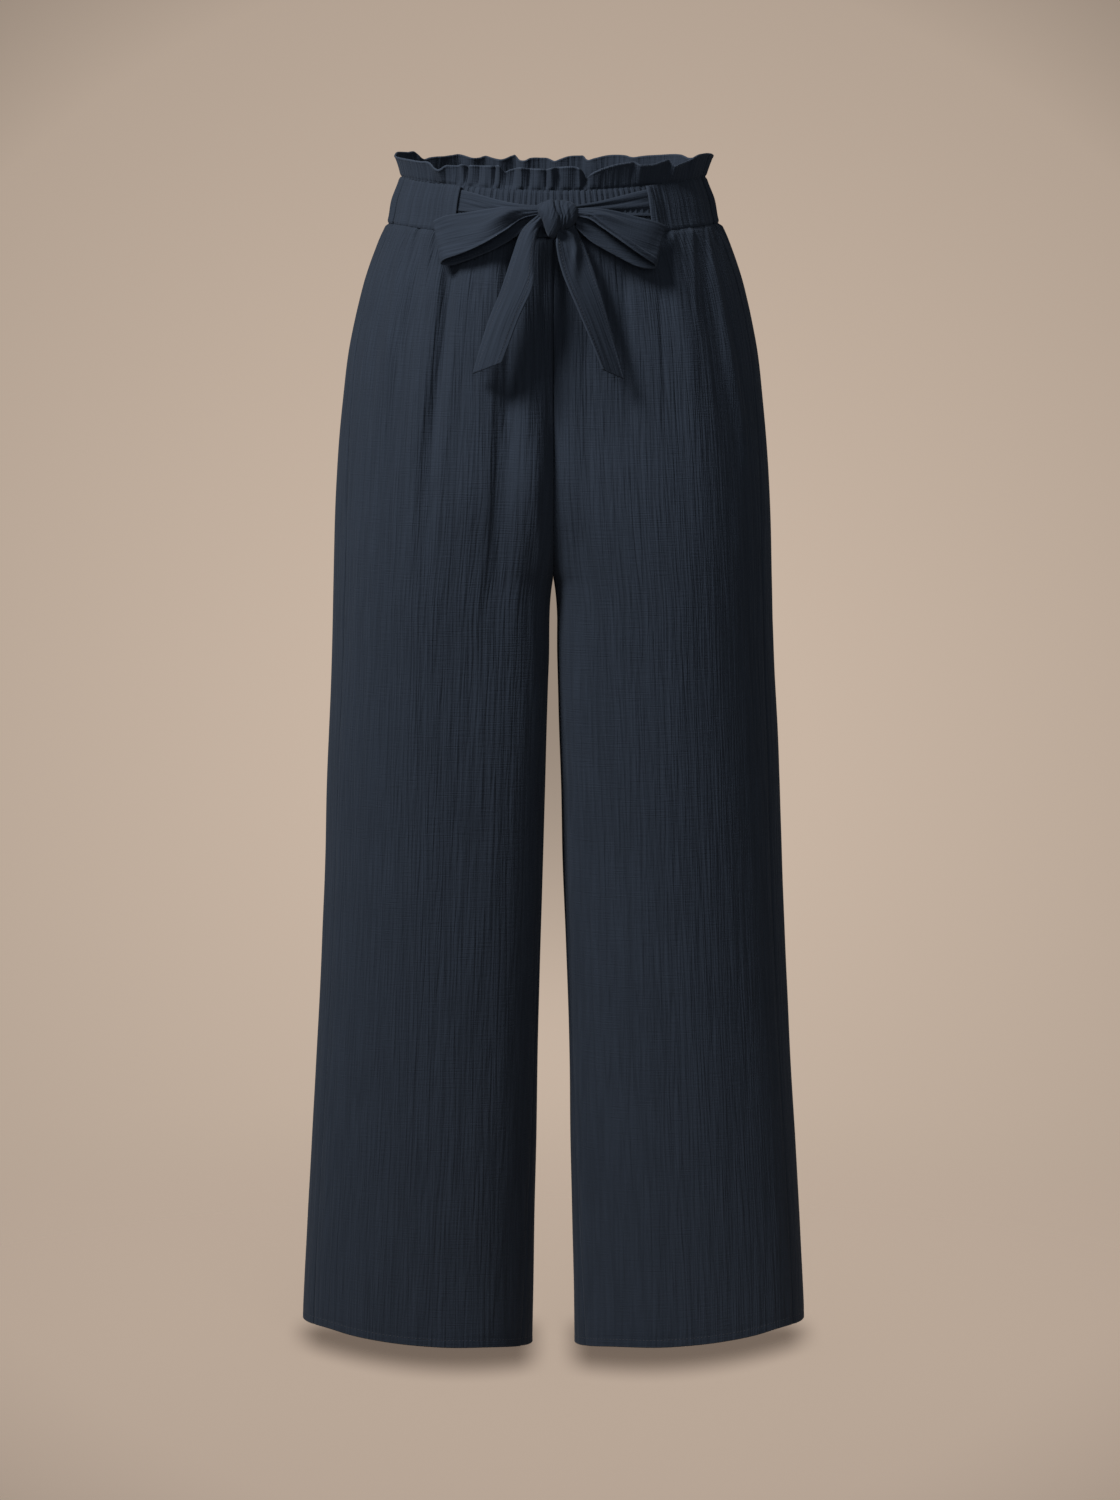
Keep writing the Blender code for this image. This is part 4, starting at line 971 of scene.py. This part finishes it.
# place round the waist from the front, height, stand-off
CORNER_LEFT = [
    (0.70, 16.4, 4.0), (0.78, 16.6, 4.2), (0.86, 17.0, 5.2), (0.93, 17.8, 6.2), (0.98, 19.0, 6.4),
    (1.02, 20.6, 5.4), (1.06, 21.4, 4.4), (1.12, 21.6, 3.4), (1.20, 21.6, 2.4), (1.275, 21.4, 1.0),
    (1.305, 17.6, -0.5),
]
CORNER_RIGHT = [
    (0.66, 17.2, 4.8), (0.70, 20.4, 7.6), (0.76, 21.2, 8.0), (0.84, 20.8, 7.4), (0.92, 19.6, 7.2),
    (0.98, 18.2, 7.2), (1.03, 16.8, 6.0), (1.09, 16.6, 4.0), (1.16, 16.8, 2.0), (1.24, 17.0, 2.0),
]
# gathers that run up the front of the ruffle: across, height, half width on the left, on the right
GATHERS = [
    (-97.0, -0.8, 2.4, 2.4), (-86.0, 0.5, 3.0, 3.0), (-79.6, -1.8, 2.4, 1.0), (-74.4, -1.9, 1.8, 0.9),
    (-70.2, 0.7, 1.5, 1.5), (-64.2, -2.0, 2.6, 1.0), (-58.6, 0.6, 1.8, 1.8), (-50.2, -1.8, 2.2, 0.9),
    (-46.4, 1.6, 1.0, 1.6), (-33.6, -2.8, 9.0, 2.0), (-27.2, 1.4, 1.4, 2.0), (-20.0, -1.8, 3.0, 1.3),
    (-14.0, 0.4, 2.0, 2.0), (-5.4, -1.8, 2.6, 1.3), (-1.4, 1.4, 1.1, 2.0), (5.0, -1.6, 3.6, 1.4),
    (11.0, 0.5, 2.4, 2.4), (18.0, -0.9, 2.4, 1.2), (21.8, 1.4, 1.3, 1.6), (26.8, -2.2, 3.0, 1.6),
    (41.0, -0.6, 2.4, 2.4), (57.0, -0.6, 2.0, 2.0), (90.0, -0.6, 2.2, 2.2),
]
WAIST_HALF = 132.8
LEANS_OUT = 0.82        # share of its stand-off by which the edge also lies further out to its side


def edge_table(which):
    """Place, height and stand-off of the top edge, with the side corners at both ends."""
    rows = np.array(EDGE_FRONT if which == FRONT else EDGE_BACK)
    lean = np.maximum(rows[:, 2], 0.0) * (rows[:, 0] / WAIST_HALF) * LEANS_OUT
    turn = 2.0 / np.pi * np.arcsin((rows[:, 0] - lean) / WAIST_HALF)
    left, right = np.array(CORNER_LEFT), np.array(CORNER_RIGHT)
    if which == FRONT:
        place = np.concatenate([-left[::-1, 0], turn, right[:, 0]])
        return place, *(np.concatenate([left[::-1, n], rows[:, n], right[:, n]]) for n in (1, 2))
    place = np.concatenate([right[:, 0], 2.0 - turn, 4.0 - left[::-1, 0]])
    return place, *(np.concatenate([right[:, n], rows[:, n], left[::-1, n]]) for n in (1, 2))


print("points of the top edge:", [len(edge_table(which)[0]) for which in (FRONT, BACK)])

# %% Make the ruffle
# share of the way up of each row of points, from the foot that stands in behind the band
CLIMB_ROWS = np.concatenate([[-0.09, 0.0, 0.04], np.linspace(0.1, 0.88, 16),
                             [0.91, 0.94, 0.965, 0.985, 1.0]])[:, None]
GATHER_DEPTH = {FRONT: 0.7, BACK: 1.15}


def ruffle(name, which, start, end, seed):
    """Upstanding wall: gathers at its foot ease into the waves of the edge table at its top."""
    place, distance = around(start, end, apart=0.7)
    climb = np.maximum(CLIMB_ROWS, 0.0)
    knots, heights, offs = edge_table(which)
    top = curve_through(knots, heights, place)
    wave = curve_through(knots, offs, place)
    height = top * CLIMB_ROWS
    gather = GATHER_DEPTH[which] * (pleats(distance, pitch=5.4, seed=seed) - 0.4)
    crease = 0.35 * crinkle(distance, CLIMB_ROWS, 3.0, 0.9, seed + 5)
    stand_off = (wave * climb ** 0.9 + gather * (1.0 - climb) ** 0.9 + crease * climb
                 - 0.8 * hill(np.maximum(height, 0.0), 1.4) - 0.4)
    if which == FRONT:
        across = WAIST_HALF * np.sin(np.pi / 2 * place)
        grow = ease(height / 3.0)
        for at, size, on_left, on_right in GATHERS:
            stand_off += size * grow * hill(across - at, np.where(across < at, on_left, on_right))
    middle = waist_ring(place, -height, stand_off)
    out = facing(middle)
    wall = 1.0 + 0.7 * hill(top - height - 1.1, 0.9)
    wall = rounded(wall, top - height, reach=0.7, least=0.45)[..., None]
    grain = grain_of(distance * 1.4, height)
    # painted highlight along the folded top edge
    highlight = hill(top - height, 1.1)
    piece = cloth_wall(name, middle + out * wall / 2, middle - out * wall / 2, grain, highlight, ruffle_crepe)
    return piece


ruffle_front = ruffle("ruffle_front_cloth", FRONT, -SIDE + END_GAP, SIDE - END_GAP, seed=61)
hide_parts("ruffle_front")
ruffle_back = ruffle("ruffle_back_cloth", BACK, SIDE + END_GAP, 4.0 - SIDE - END_GAP, seed=71)
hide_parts("ruffle_back")

# %% [markdown]
# ## Tie and bow
#
# The tie is one long ribbon, sewn double with its edges turned in. It could be one strip that is led
# through the knot, but inside the knot nobody sees it. So each stretch that shows is a strip between two
# edge curves that stand off the body: out of the slot to the knot, along the front of a loop and back
# behind it, or down a tail. Pleats run out of the knot and die away, and a soft hollow or a rolled edge
# is a bell in the strip's own two directions. The knot is a rounded form with the furrows between its
# wraps drawn as lines.

# %% Tables of the ribbons
# upper edge's across and level, lower edge's across and level, stand-off of the upper and the lower edge
LOOP_LEFT = [
    (12.0, -26.0, 12.0, -31.5, 17.0, 17.5), (28.0, -25.0, 28.0, -36.0, 17.5, 20.0),
    (42.0, -25.6, 42.0, -45.8, 17.5, 22.0), (58.0, -27.6, 58.0, -55.8, 16.5, 23.0),
    (76.0, -30.6, 75.0, -63.6, 15.0, 21.5), (91.0, -33.4, 88.0, -68.6, 14.0, 19.0),
    (99.5, -36.2, 94.0, -71.4, 12.5, 16.0), (102.5, -38.0, 96.0, -73.6, 10.5, 13.0),
    (99.5, -39.0, 95.0, -75.2, 9.0, 10.0), (90.0, -38.5, 87.0, -75.6, 8.6, 8.8),
    (76.0, -37.0, 75.0, -72.0, 8.4, 8.4), (58.0, -35.5, 58.0, -65.4, 8.4, 8.4),
    (42.0, -34.0, 42.0, -57.4, 9.6, 9.4), (28.0, -32.0, 28.0, -48.2, 11.0, 11.0),
    (12.0, -29.5, 12.0, -37.0, 13.2, 13.4),
]
LOOP_RIGHT = [
    (19.5, -27.0, 19.5, -33.0, 17.0, 17.5), (31.5, -26.4, 31.5, -36.5, 17.5, 19.5),
    (42.0, -27.2, 42.0, -43.5, 17.5, 21.5), (56.0, -29.6, 56.0, -53.6, 16.5, 22.5),
    (71.0, -33.8, 69.0, -62.6, 15.0, 21.5), (84.0, -37.4, 79.5, -69.6, 14.0, 19.0),
    (92.5, -40.2, 85.4, -73.8, 12.5, 16.0), (95.8, -42.0, 87.6, -76.4, 10.5, 13.0),
    (92.5, -43.0, 86.4, -78.2, 9.0, 10.0), (82.0, -42.0, 79.0, -78.4, 8.6, 8.8),
    (70.0, -40.0, 69.0, -75.4, 8.4, 8.4), (57.0, -38.0, 57.0, -69.3, 8.4, 8.4),
    (44.0, -36.0, 44.0, -62.4, 9.6, 9.4), (31.5, -34.0, 31.5, -54.8, 11.0, 11.0),
    (19.5, -31.5, 19.5, -44.0, 13.2, 13.4),
]
# left edge's across and level, right edge's across and level, stand-off
TAIL_LEFT = [
    (-12.6, -33.0, -9.8, -38.6, 16.6), (-26.4, -44.8, -14.4, -51.0, 19.0),
    (-35.0, -66.0, -16.4, -74.0, 22.0), (-45.6, -97.4, -17.6, -96.0, 22.5),
    (-56.6, -125.2, -28.7, -120.1, 21.0), (-69.3, -167.7, -42.8, -157.5, 18.0),
]
TAIL_RIGHT = [
    (3.0, -45.9, 18.5, -40.6, 15.0), (2.6, -62.3, 28.0, -60.0, 13.5), (8.0, -84.4, 36.6, -84.0, 12.5),
    (20.5, -114.1, 46.0, -115.0, 12.0), (30.9, -139.0, 54.0, -142.0, 11.0),
    (40.8, -163.5, 62.1, -172.9, 10.0),
]
# across, upper edge, lower edge, stand-off
TIE_LEFT = [(84.0, -10.5, -29.8, 1.8), (70.0, -13.5, -30.2, 2.4), (48.0, -19.6, -30.6, 3.2),
            (28.0, -23.4, -30.2, 6.0), (11.0, -24.6, -29.2, 9.8)]
TIE_RIGHT = [(85.0, -10.0, -34.0, 1.8), (72.0, -13.0, -33.6, 2.4), (52.0, -18.0, -32.6, 3.2),
             (36.0, -21.8, -31.2, 6.0), (19.0, -24.8, -30.4, 9.8)]
print("ribbon lines:", [len(rows) for rows in (LOOP_LEFT, LOOP_RIGHT, TAIL_LEFT, TAIL_RIGHT, TIE_LEFT)])

# %% Ribbon strips
EDGE_STITCHES_IN = 3.4      # distance of the row of stitches from a ribbon's edge


def denser(rows, count):
    """Columns of a table, read at evenly spaced places between its rows along smooth curves."""
    at = np.linspace(0, len(rows) - 1, count)
    return [curve_through(range(len(rows)), column, at) for column in np.array(rows).T]


def bumps(at, share, rows):
    """Sum of bells on a strip; each is its height, place and reach along, place and reach across."""
    return sum(height * hill(at - along, long) * hill(share - across, wide)
               for height, along, long, across, wide in rows)


def front_points(x, level, stand_off):
    """Points in front of the body at given places across and levels."""
    return np.stack([x, body_front(x, level) - stand_off, level], -1)


def ribbon(name, upper, lower, shape, columns, sign=1.0):
    """Strip between two edges; shape(row, share across) is its height along the normal, in mm."""
    share = np.concatenate([[0.0, 0.012, 0.03], np.linspace(0.055, 0.945, columns), [0.97, 0.988, 1.0]])
    share = share[None, :]
    flat = upper[:, None, :] + (lower - upper)[:, None, :] * share[..., None]
    out = facing(flat) * sign
    rows = np.arange(len(upper))[:, None]
    flat = flat + out * shape(rows, share)[..., None]
    out = facing(flat) * sign
    across = lengths(flat, 1)
    along = lengths(flat, 0)
    from_edge = np.minimum(across, across[:, -1:] - across)
    wall = 1.25 + 0.45 * hill(from_edge - 1.6, 1.6) - 0.30 * hill(from_edge - EDGE_STITCHES_IN, 0.5)
    wall = rounded(wall, from_edge, reach=0.9, least=0.40)[..., None]
    fine = 0.14 * crinkle(across, along, 2.2, 26.0, len(upper))[..., None]
    outer, inner = flat + out * (wall / 2 + fine), flat - out * (wall / 2 - fine)
    # painted highlight along both edges of the ribbon
    highlight = 0.55 * hill(from_edge, 0.8)
    piece = cloth_wall(name, outer, inner, grain_of(across + 900.0, along), highlight, tie_crepe)
    return piece, (flat, out, from_edge)


# %% Loops of the bow
LOOP_ROWS = 190
LOOP_END = len(LOOP_LEFT) - 1       # place along of the last line of a loop's table, back at the knot
TURNS_BACK = (5.5, 2.0)             # place along where the front turns over into the back, and reach
# bumps: height, place and reach along, place and reach across
LOOP_BUMPS_LEFT = [(-8.0, 1.9, 1.05, 0.48, 0.24),   # the hollow that opens out of the knot
                   (1.8, 1.8, 1.9, 0.93, 0.08),     # the roll along the lower edge
                   (1.8, 1.6, 1.6, 0.08, 0.13)]     # the ridge along the upper edge
LOOP_BUMPS_RIGHT = [(1.8, 1.5, 2.0, 0.12, 0.13),    # the ridge along the upper edge
                    (-4.0, 2.2, 1.0, 0.40, 0.18),   # the hollow under it
                    (-1.4, 0.0, 1.6, 0.6, 0.10)]    # a short furrow at the knot
# line of the long furrow of the right loop: place along, share across
LOOP_FURROW = np.array([(0.0, 0.50), (1.0, 0.64), (2.0, 0.77), (3.0, 0.85), (4.0, 0.88), (6.0, 0.90)]).T


def along_loop(row):
    """Place along a loop, counted in lines of its table, and how much of it is the front (1) or back (0)."""
    at = row * LOOP_END / (LOOP_ROWS - 1)
    start, reach = TURNS_BACK
    return at, 1.0 - ease((at - start) / reach)


def loop_left(row, share):
    """The bumps, with pleats out of the knot and soft waves, and pleats again behind."""
    at, front = along_loop(row)
    near = 0.7 * np.cos(2 * np.pi * 3.3 * share + 0.6) * np.exp(-at / 1.1)
    soft = 0.5 * np.sin(2.2 * at + 5.0 * share) * ease(at / 2.0)
    inside = 0.5 * np.cos(2 * np.pi * 2.5 * share) * np.exp((at - LOOP_END) / 1.5)
    return (bumps(at, share, LOOP_BUMPS_LEFT) + near + soft) * front + inside * (1.0 - front)


def loop_right(row, share):
    """As on the left, with a furrow just above the rolled lower edge."""
    at, front = along_loop(row)
    line = np.interp(at, *LOOP_FURROW)
    furrow = -1.9 * hill(share - line, 0.035) * ease((at - 0.3) / 1.2)
    roll = 1.2 * hill(at - 1.2, 3.0) * hill(share - 0.5 * (1.0 + line), 0.05)
    near = 0.7 * np.cos(2 * np.pi * 3.0 * share + 2.0) * np.exp(-at / 1.1)
    soft = 0.5 * np.sin(1.9 * at + 4.0 * share + 1.0) * ease(at / 2.0)
    inside = 0.8 * np.cos(2 * np.pi * 2.0 * share) * np.exp((at - LOOP_END) / 2.0)
    shape = bumps(at, share, LOOP_BUMPS_RIGHT) + furrow + roll + near + soft
    return shape * front + inside * (1.0 - front)


ribbons = {}
for side, rows, shape in (("left", LOOP_LEFT, loop_left), ("right", LOOP_RIGHT, loop_right)):
    sign = SIGN[side]
    x_top, top, x_bottom, bottom, off_top, off_bottom = denser(rows, LOOP_ROWS)
    upper = front_points(sign * x_top, top, off_top)
    lower = front_points(sign * x_bottom, bottom, off_bottom)
    piece, ribbons["loop_" + side] = ribbon("bow_loop_" + side, upper, lower, shape, columns=46, sign=sign)
    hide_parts("loop_" + side)

# %% Tails of the bow
TAIL_ROWS = 150
TAIL_END = len(TAIL_LEFT) - 1       # place along of the slanted end, counted in lines of the table
# line of the rolled fold of the right tail: place along, share across
TAIL_FOLD = np.array([(0.0, 0.15), (0.2, 0.50), (0.4, 0.64), (0.85, 0.68), (1.5, 0.50), (2.1, 0.34),
                      (5.0, 0.28)]).T


def tail_left(row, share):
    """An arched strip turned a little to the left, with two pleats that come out of the knot."""
    at = row * TAIL_END / (TAIL_ROWS - 1)
    arch = 2.6 * 4.0 * share * (1.0 - share)
    arch = arch - 2.6 * hill(share - 1.0, 0.14) * (1.0 - ease((at - 1.5) / 2.0))
    turned = 3.4 * (2.0 * share - 1.0) * ease(at / 0.9)
    near = 1.2 * np.cos(2 * np.pi * (2.1 * share - 0.15)) * np.exp(-at / 0.9)
    soft = 0.6 * np.sin(1.7 * at + 0.5) * np.cos(np.pi * share)
    return arch + turned + near + soft


def tail_right(row, share):
    """A strip turned to the right, with a rolled fold that bows out of the knot and a hollow inside it."""
    at = row * TAIL_END / (TAIL_ROWS - 1)
    turned = -6.0 * (2.0 * share - 1.0) * ease((at + 0.1) / 0.9)
    line = curve_through(*TAIL_FOLD, at)
    fading = 1.0 - ease((at - 1.1) / 1.5)
    ridge = 2.8 * hill(share - line, 0.12) * fading
    hollow = -3.6 * hill(at - 0.45, 0.42) * hill(share - 0.26, 0.22)
    fallen = -2.0 * ease((share - line) / 0.25) * fading
    soft = 0.6 * np.sin(1.9 * at + 1.0) * np.cos(np.pi * share)
    return turned + ridge + hollow + fallen + soft


for side, rows, shape in (("left", TAIL_LEFT, tail_left), ("right", TAIL_RIGHT, tail_right)):
    x_left, z_left, x_right, z_right, off = denser(rows, TAIL_ROWS)
    left, right = front_points(x_left, z_left, off), front_points(x_right, z_right, off)
    piece, ribbons["tail_" + side] = ribbon("bow_tail_" + side, left, right, shape, columns=34)
    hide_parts("tail_" + side)

# %% Ties from the slots to the knot
TIE_ROWS = 90


def tie_left(row, share):
    """Long pleats that draw together towards the knot, with a ridge along the upper edge."""
    at = row / (TIE_ROWS - 1)
    ridge = 0.9 * hill(share - 0.16, 0.10) * ease((at - 0.1) / 0.5)
    furrow = -0.9 * hill(share - 0.34, 0.10) * ease((at - 0.2) / 0.5)
    return ridge + furrow + 0.45 * np.cos(2 * np.pi * 2.6 * share) * ease(at / 0.7)


def tie_right(row, share):
    """Three pleats that fan out of the knot, and a roll along the lower edge."""
    at = row / (TIE_ROWS - 1)
    fan = 0.9 * np.cos(2 * np.pi * (2.3 * share + 0.1)) * ease((at + 0.4) / 0.9)
    roll = 1.4 * hill(share - 0.80, 0.13) * (1.0 - 0.5 * at)
    return fan + roll


for side, rows, shape in (("left", TIE_LEFT, tie_left), ("right", TIE_RIGHT, tie_right)):
    sign = SIGN[side]
    x, top, bottom, off = denser(rows, TIE_ROWS)
    upper, lower = front_points(sign * x, top, off), front_points(sign * x, bottom, off)
    piece, _ = ribbon("tie_end_" + side, upper, lower, shape, columns=26, sign=-sign)
    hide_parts("tie_" + side)

# %% Table of the knot
# across, upper edge, lower edge, half depth
KNOT = [(-13.9, -25.0, -28.2, 3.0), (-12.6, -23.4, -32.4, 6.6), (-10.4, -22.2, -36.6, 8.8),
        (-8.2, -21.4, -41.0, 10.2), (-6.4, -20.9, -46.4, 11.0), (-4.2, -20.5, -50.6, 11.6),
        (-1.0, -20.1, -52.4, 11.8), (2.2, -19.8, -51.0, 11.6), (5.4, -19.9, -47.2, 11.4),
        (9.4, -20.2, -45.4, 11.2), (13.4, -21.0, -43.8, 10.4), (17.4, -22.8, -41.0, 8.4),
        (20.0, -25.4, -37.6, 5.2), (20.9, -28.4, -33.6, 2.6)]
# furrows between the wraps: points (across, level), half width, depth
FURROWS = [
    ([(0.6, -18.0), (1.4, -23.0), (2.8, -28.1), (5.8, -32.7), (5.2, -41.3), (3.0, -50.6)], 1.0, 2.4),
    ([(5.6, -18.0), (6.6, -26.8), (8.4, -32.7), (7.6, -40.0), (5.0, -47.0)], 0.8, 1.7),
    ([(8.6, -25.0), (11.4, -34.0), (9.4, -44.0)], 0.8, 1.0),
    ([(13.4, -24.0), (14.6, -33.0), (12.6, -43.0)], 1.0, 0.7),
    ([(-13.6, -28.6), (-10.4, -24.6), (-6.4, -21.0)], 1.0, 0.9),
    ([(-4.0, -22.0), (-3.2, -32.0), (-4.0, -44.0)], 0.9, 0.35),
]
KNOT_STANDS_OFF = 15.4      # from the body to the middle of the knot
print("knot:", round(KNOT[-1][0] - KNOT[0][0], 1), "mm wide,", len(FURROWS), "furrows")


# %% Make the knot
def distance_to_line(x, z, line):
    """Shortest distance in the front plane from each point to a line of straight pieces."""
    best = np.full(x.shape, 1e9)
    for (ax, az), (bx, bz) in zip(line[:-1], line[1:]):
        t = ((x - ax) * (bx - ax) + (z - az) * (bz - az)) / ((bx - ax) ** 2 + (bz - az) ** 2)
        t = np.clip(t, 0.0, 1.0)
        best = np.minimum(best, np.hypot(x - ax - t * (bx - ax), z - az - t * (bz - az)))
    return best


def knot():
    """Ovals side by side across the front, cut by the furrows of the wraps on their front half."""
    x, top, bottom, thick = denser(KNOT, 96)
    turn = np.linspace(0.0, 2 * np.pi, 120, endpoint=False)
    middle, half = (top + bottom) / 2, (top - bottom) / 2
    across = x[:, None] + 0.0 * turn
    level = middle[:, None] + half[:, None] * np.sin(turn)
    front = ease((np.cos(turn) + 0.35) / 0.6)
    depth = thick[:, None] * np.cos(turn)
    carve = np.zeros_like(level)
    for line, width, deep in FURROWS:
        carve -= deep * hill(distance_to_line(across, level, line), width)
    carve += 1.5 * hill(across + 2.0 + 0.16 * (level + 20.0), 5.0) * front
    carve += 0.25 * crinkle(across, level, 1.7, 14.0, 5) * front
    size = 1.0 + carve * front / np.maximum(np.hypot(half[:, None] * np.sin(turn), depth), 2.0)
    y = body_front(x, middle)[:, None] - KNOT_STANDS_OFF - depth * size
    level = middle[:, None] + half[:, None] * np.sin(turn) * size
    return np.stack([across, y, level], -1)


ring = knot()
closed = np.concatenate([ring, ring[:, :1]], 1)
flat = np.stack([lengths(closed, 0)[:, :-1], lengths(closed, 1)[:, :-1]], -1).reshape(-1, 2) * 0.001
points = ring.reshape(-1, 3) * 0.001
index = np.arange(len(points)).reshape(ring.shape[:2])
after = np.roll(index, -1, 1)
quads = np.stack([index[:-1], after[:-1], after[1:], index[1:]], -1).reshape(-1, 4)
caps = [index[0, ::-1].tolist(), index[-1].tolist()]
knot_cloth = new_piece("knot_cloth", points, quads.tolist() + caps, tie_crepe)
mesh = knot_cloth.data
corner = np.zeros(len(mesh.loops), np.int32)
mesh.loops.foreach_get("vertex_index", corner)
mesh.uv_layers.new(name="grain").uv.foreach_set("vector", flat[corner].astype(np.float32).ravel())
a, b, c = (points[quads[:, n]] for n in range(3))
if np.einsum("ij,ij->i", a, np.cross(b, c)).sum() < 0:
    mesh.flip_normals()
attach(knot_cloth, "root")
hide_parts("knot")
print("knot", len(quads), "faces")

# %% [markdown]
# ## Stitches
#
# The thread shows where the hems and the ribbon's edges are stitched down. Stitches could be painted, but
# real ones sink in at both ends and catch the light in between. Here a stitch is a short rounded bar, and
# a whole row is one mesh: the same small form, carried along a path of points and turned to it.

# %% Rows of stitches
STITCH_GAP = 0.9
RINGS, SPOKES = 5, 6        # rings of points along a stitch, and points round a ring
RING_SIZES = np.array([0.25, 0.9, 1.0, 0.9, 0.25])
RING_HEIGHTS = np.array([-0.25, 0.0, 0.1, 0.0, -0.25])


def stitches(name, path, out, length, radius):
    """Bars along a path: rings of six points, thin at both ends, set a little into the cloth."""
    travelled = lengths(path[None], 1)[0]
    count = int(travelled[-1] / (length + STITCH_GAP))
    centre = (np.arange(count) + 0.5) * travelled[-1] / count
    at = centre[:, None] + np.linspace(-0.5, 0.5, RINGS) * length
    middle = np.stack([np.interp(at, travelled, path[:, n]) for n in range(3)], -1)
    up = np.stack([np.interp(at, travelled, out[:, n]) for n in range(3)], -1)
    aside = np.cross(unit(np.gradient(middle, axis=1)), up)[:, :, None, :]
    turn = np.linspace(0, 2 * np.pi, SPOKES + 1)[:-1, None]
    spokes = np.cos(turn) * aside + np.sin(turn) * up[:, :, None, :]
    centres = (middle + up * RING_HEIGHTS[:, None])[:, :, None, :]
    points = centres + radius * RING_SIZES[:, None, None] * spokes
    index = np.arange(count * RINGS * SPOKES).reshape(count, RINGS, SPOKES)
    after = np.roll(index, -1, 2)
    quads = np.stack([index[:, :-1], index[:, 1:], after[:, 1:], after[:, :-1]], -1).reshape(-1, 4).tolist()
    caps = index[:, 0, ::-1].tolist() + index[:, -1].tolist()
    piece = new_piece(name, points.reshape(-1, 3) * 0.001, quads + caps, thread_navy)
    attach(piece, "root")
    print(name, count, "stitches")


# %% Hem stitches
for side, sign in SIGN.items():
    for word in ("front", "back"):
        grid = legs[word, side]
        up = grid[:, COLUMNS // 2, 2] - grid[-1, COLUMNS // 2, 2]
        row = int(np.argmin(np.abs(up - HEM_STITCHES_UP)))
        out = facing(grid)[row] * sign
        stitches("hem_stitches_" + word + "_" + side, grid[row] + out * 0.05, out, length=2.3, radius=0.26)

# %% Edge stitches of the bow
HALF_WALL = 0.62        # half the thickness of a ribbon, where its stitches lie
for name, (flat, out, from_edge) in ribbons.items():
    column = int(np.argmin(np.abs(from_edge[len(flat) // 4, :20] - EDGE_STITCHES_IN)))
    for word, n in (("upper", column), ("lower", flat.shape[1] - 1 - column)):
        path = flat[:, n] + out[:, n] * HALF_WALL
        stitches("edge_stitches_" + name + "_" + word, path, out[:, n], length=2.0, radius=0.2)
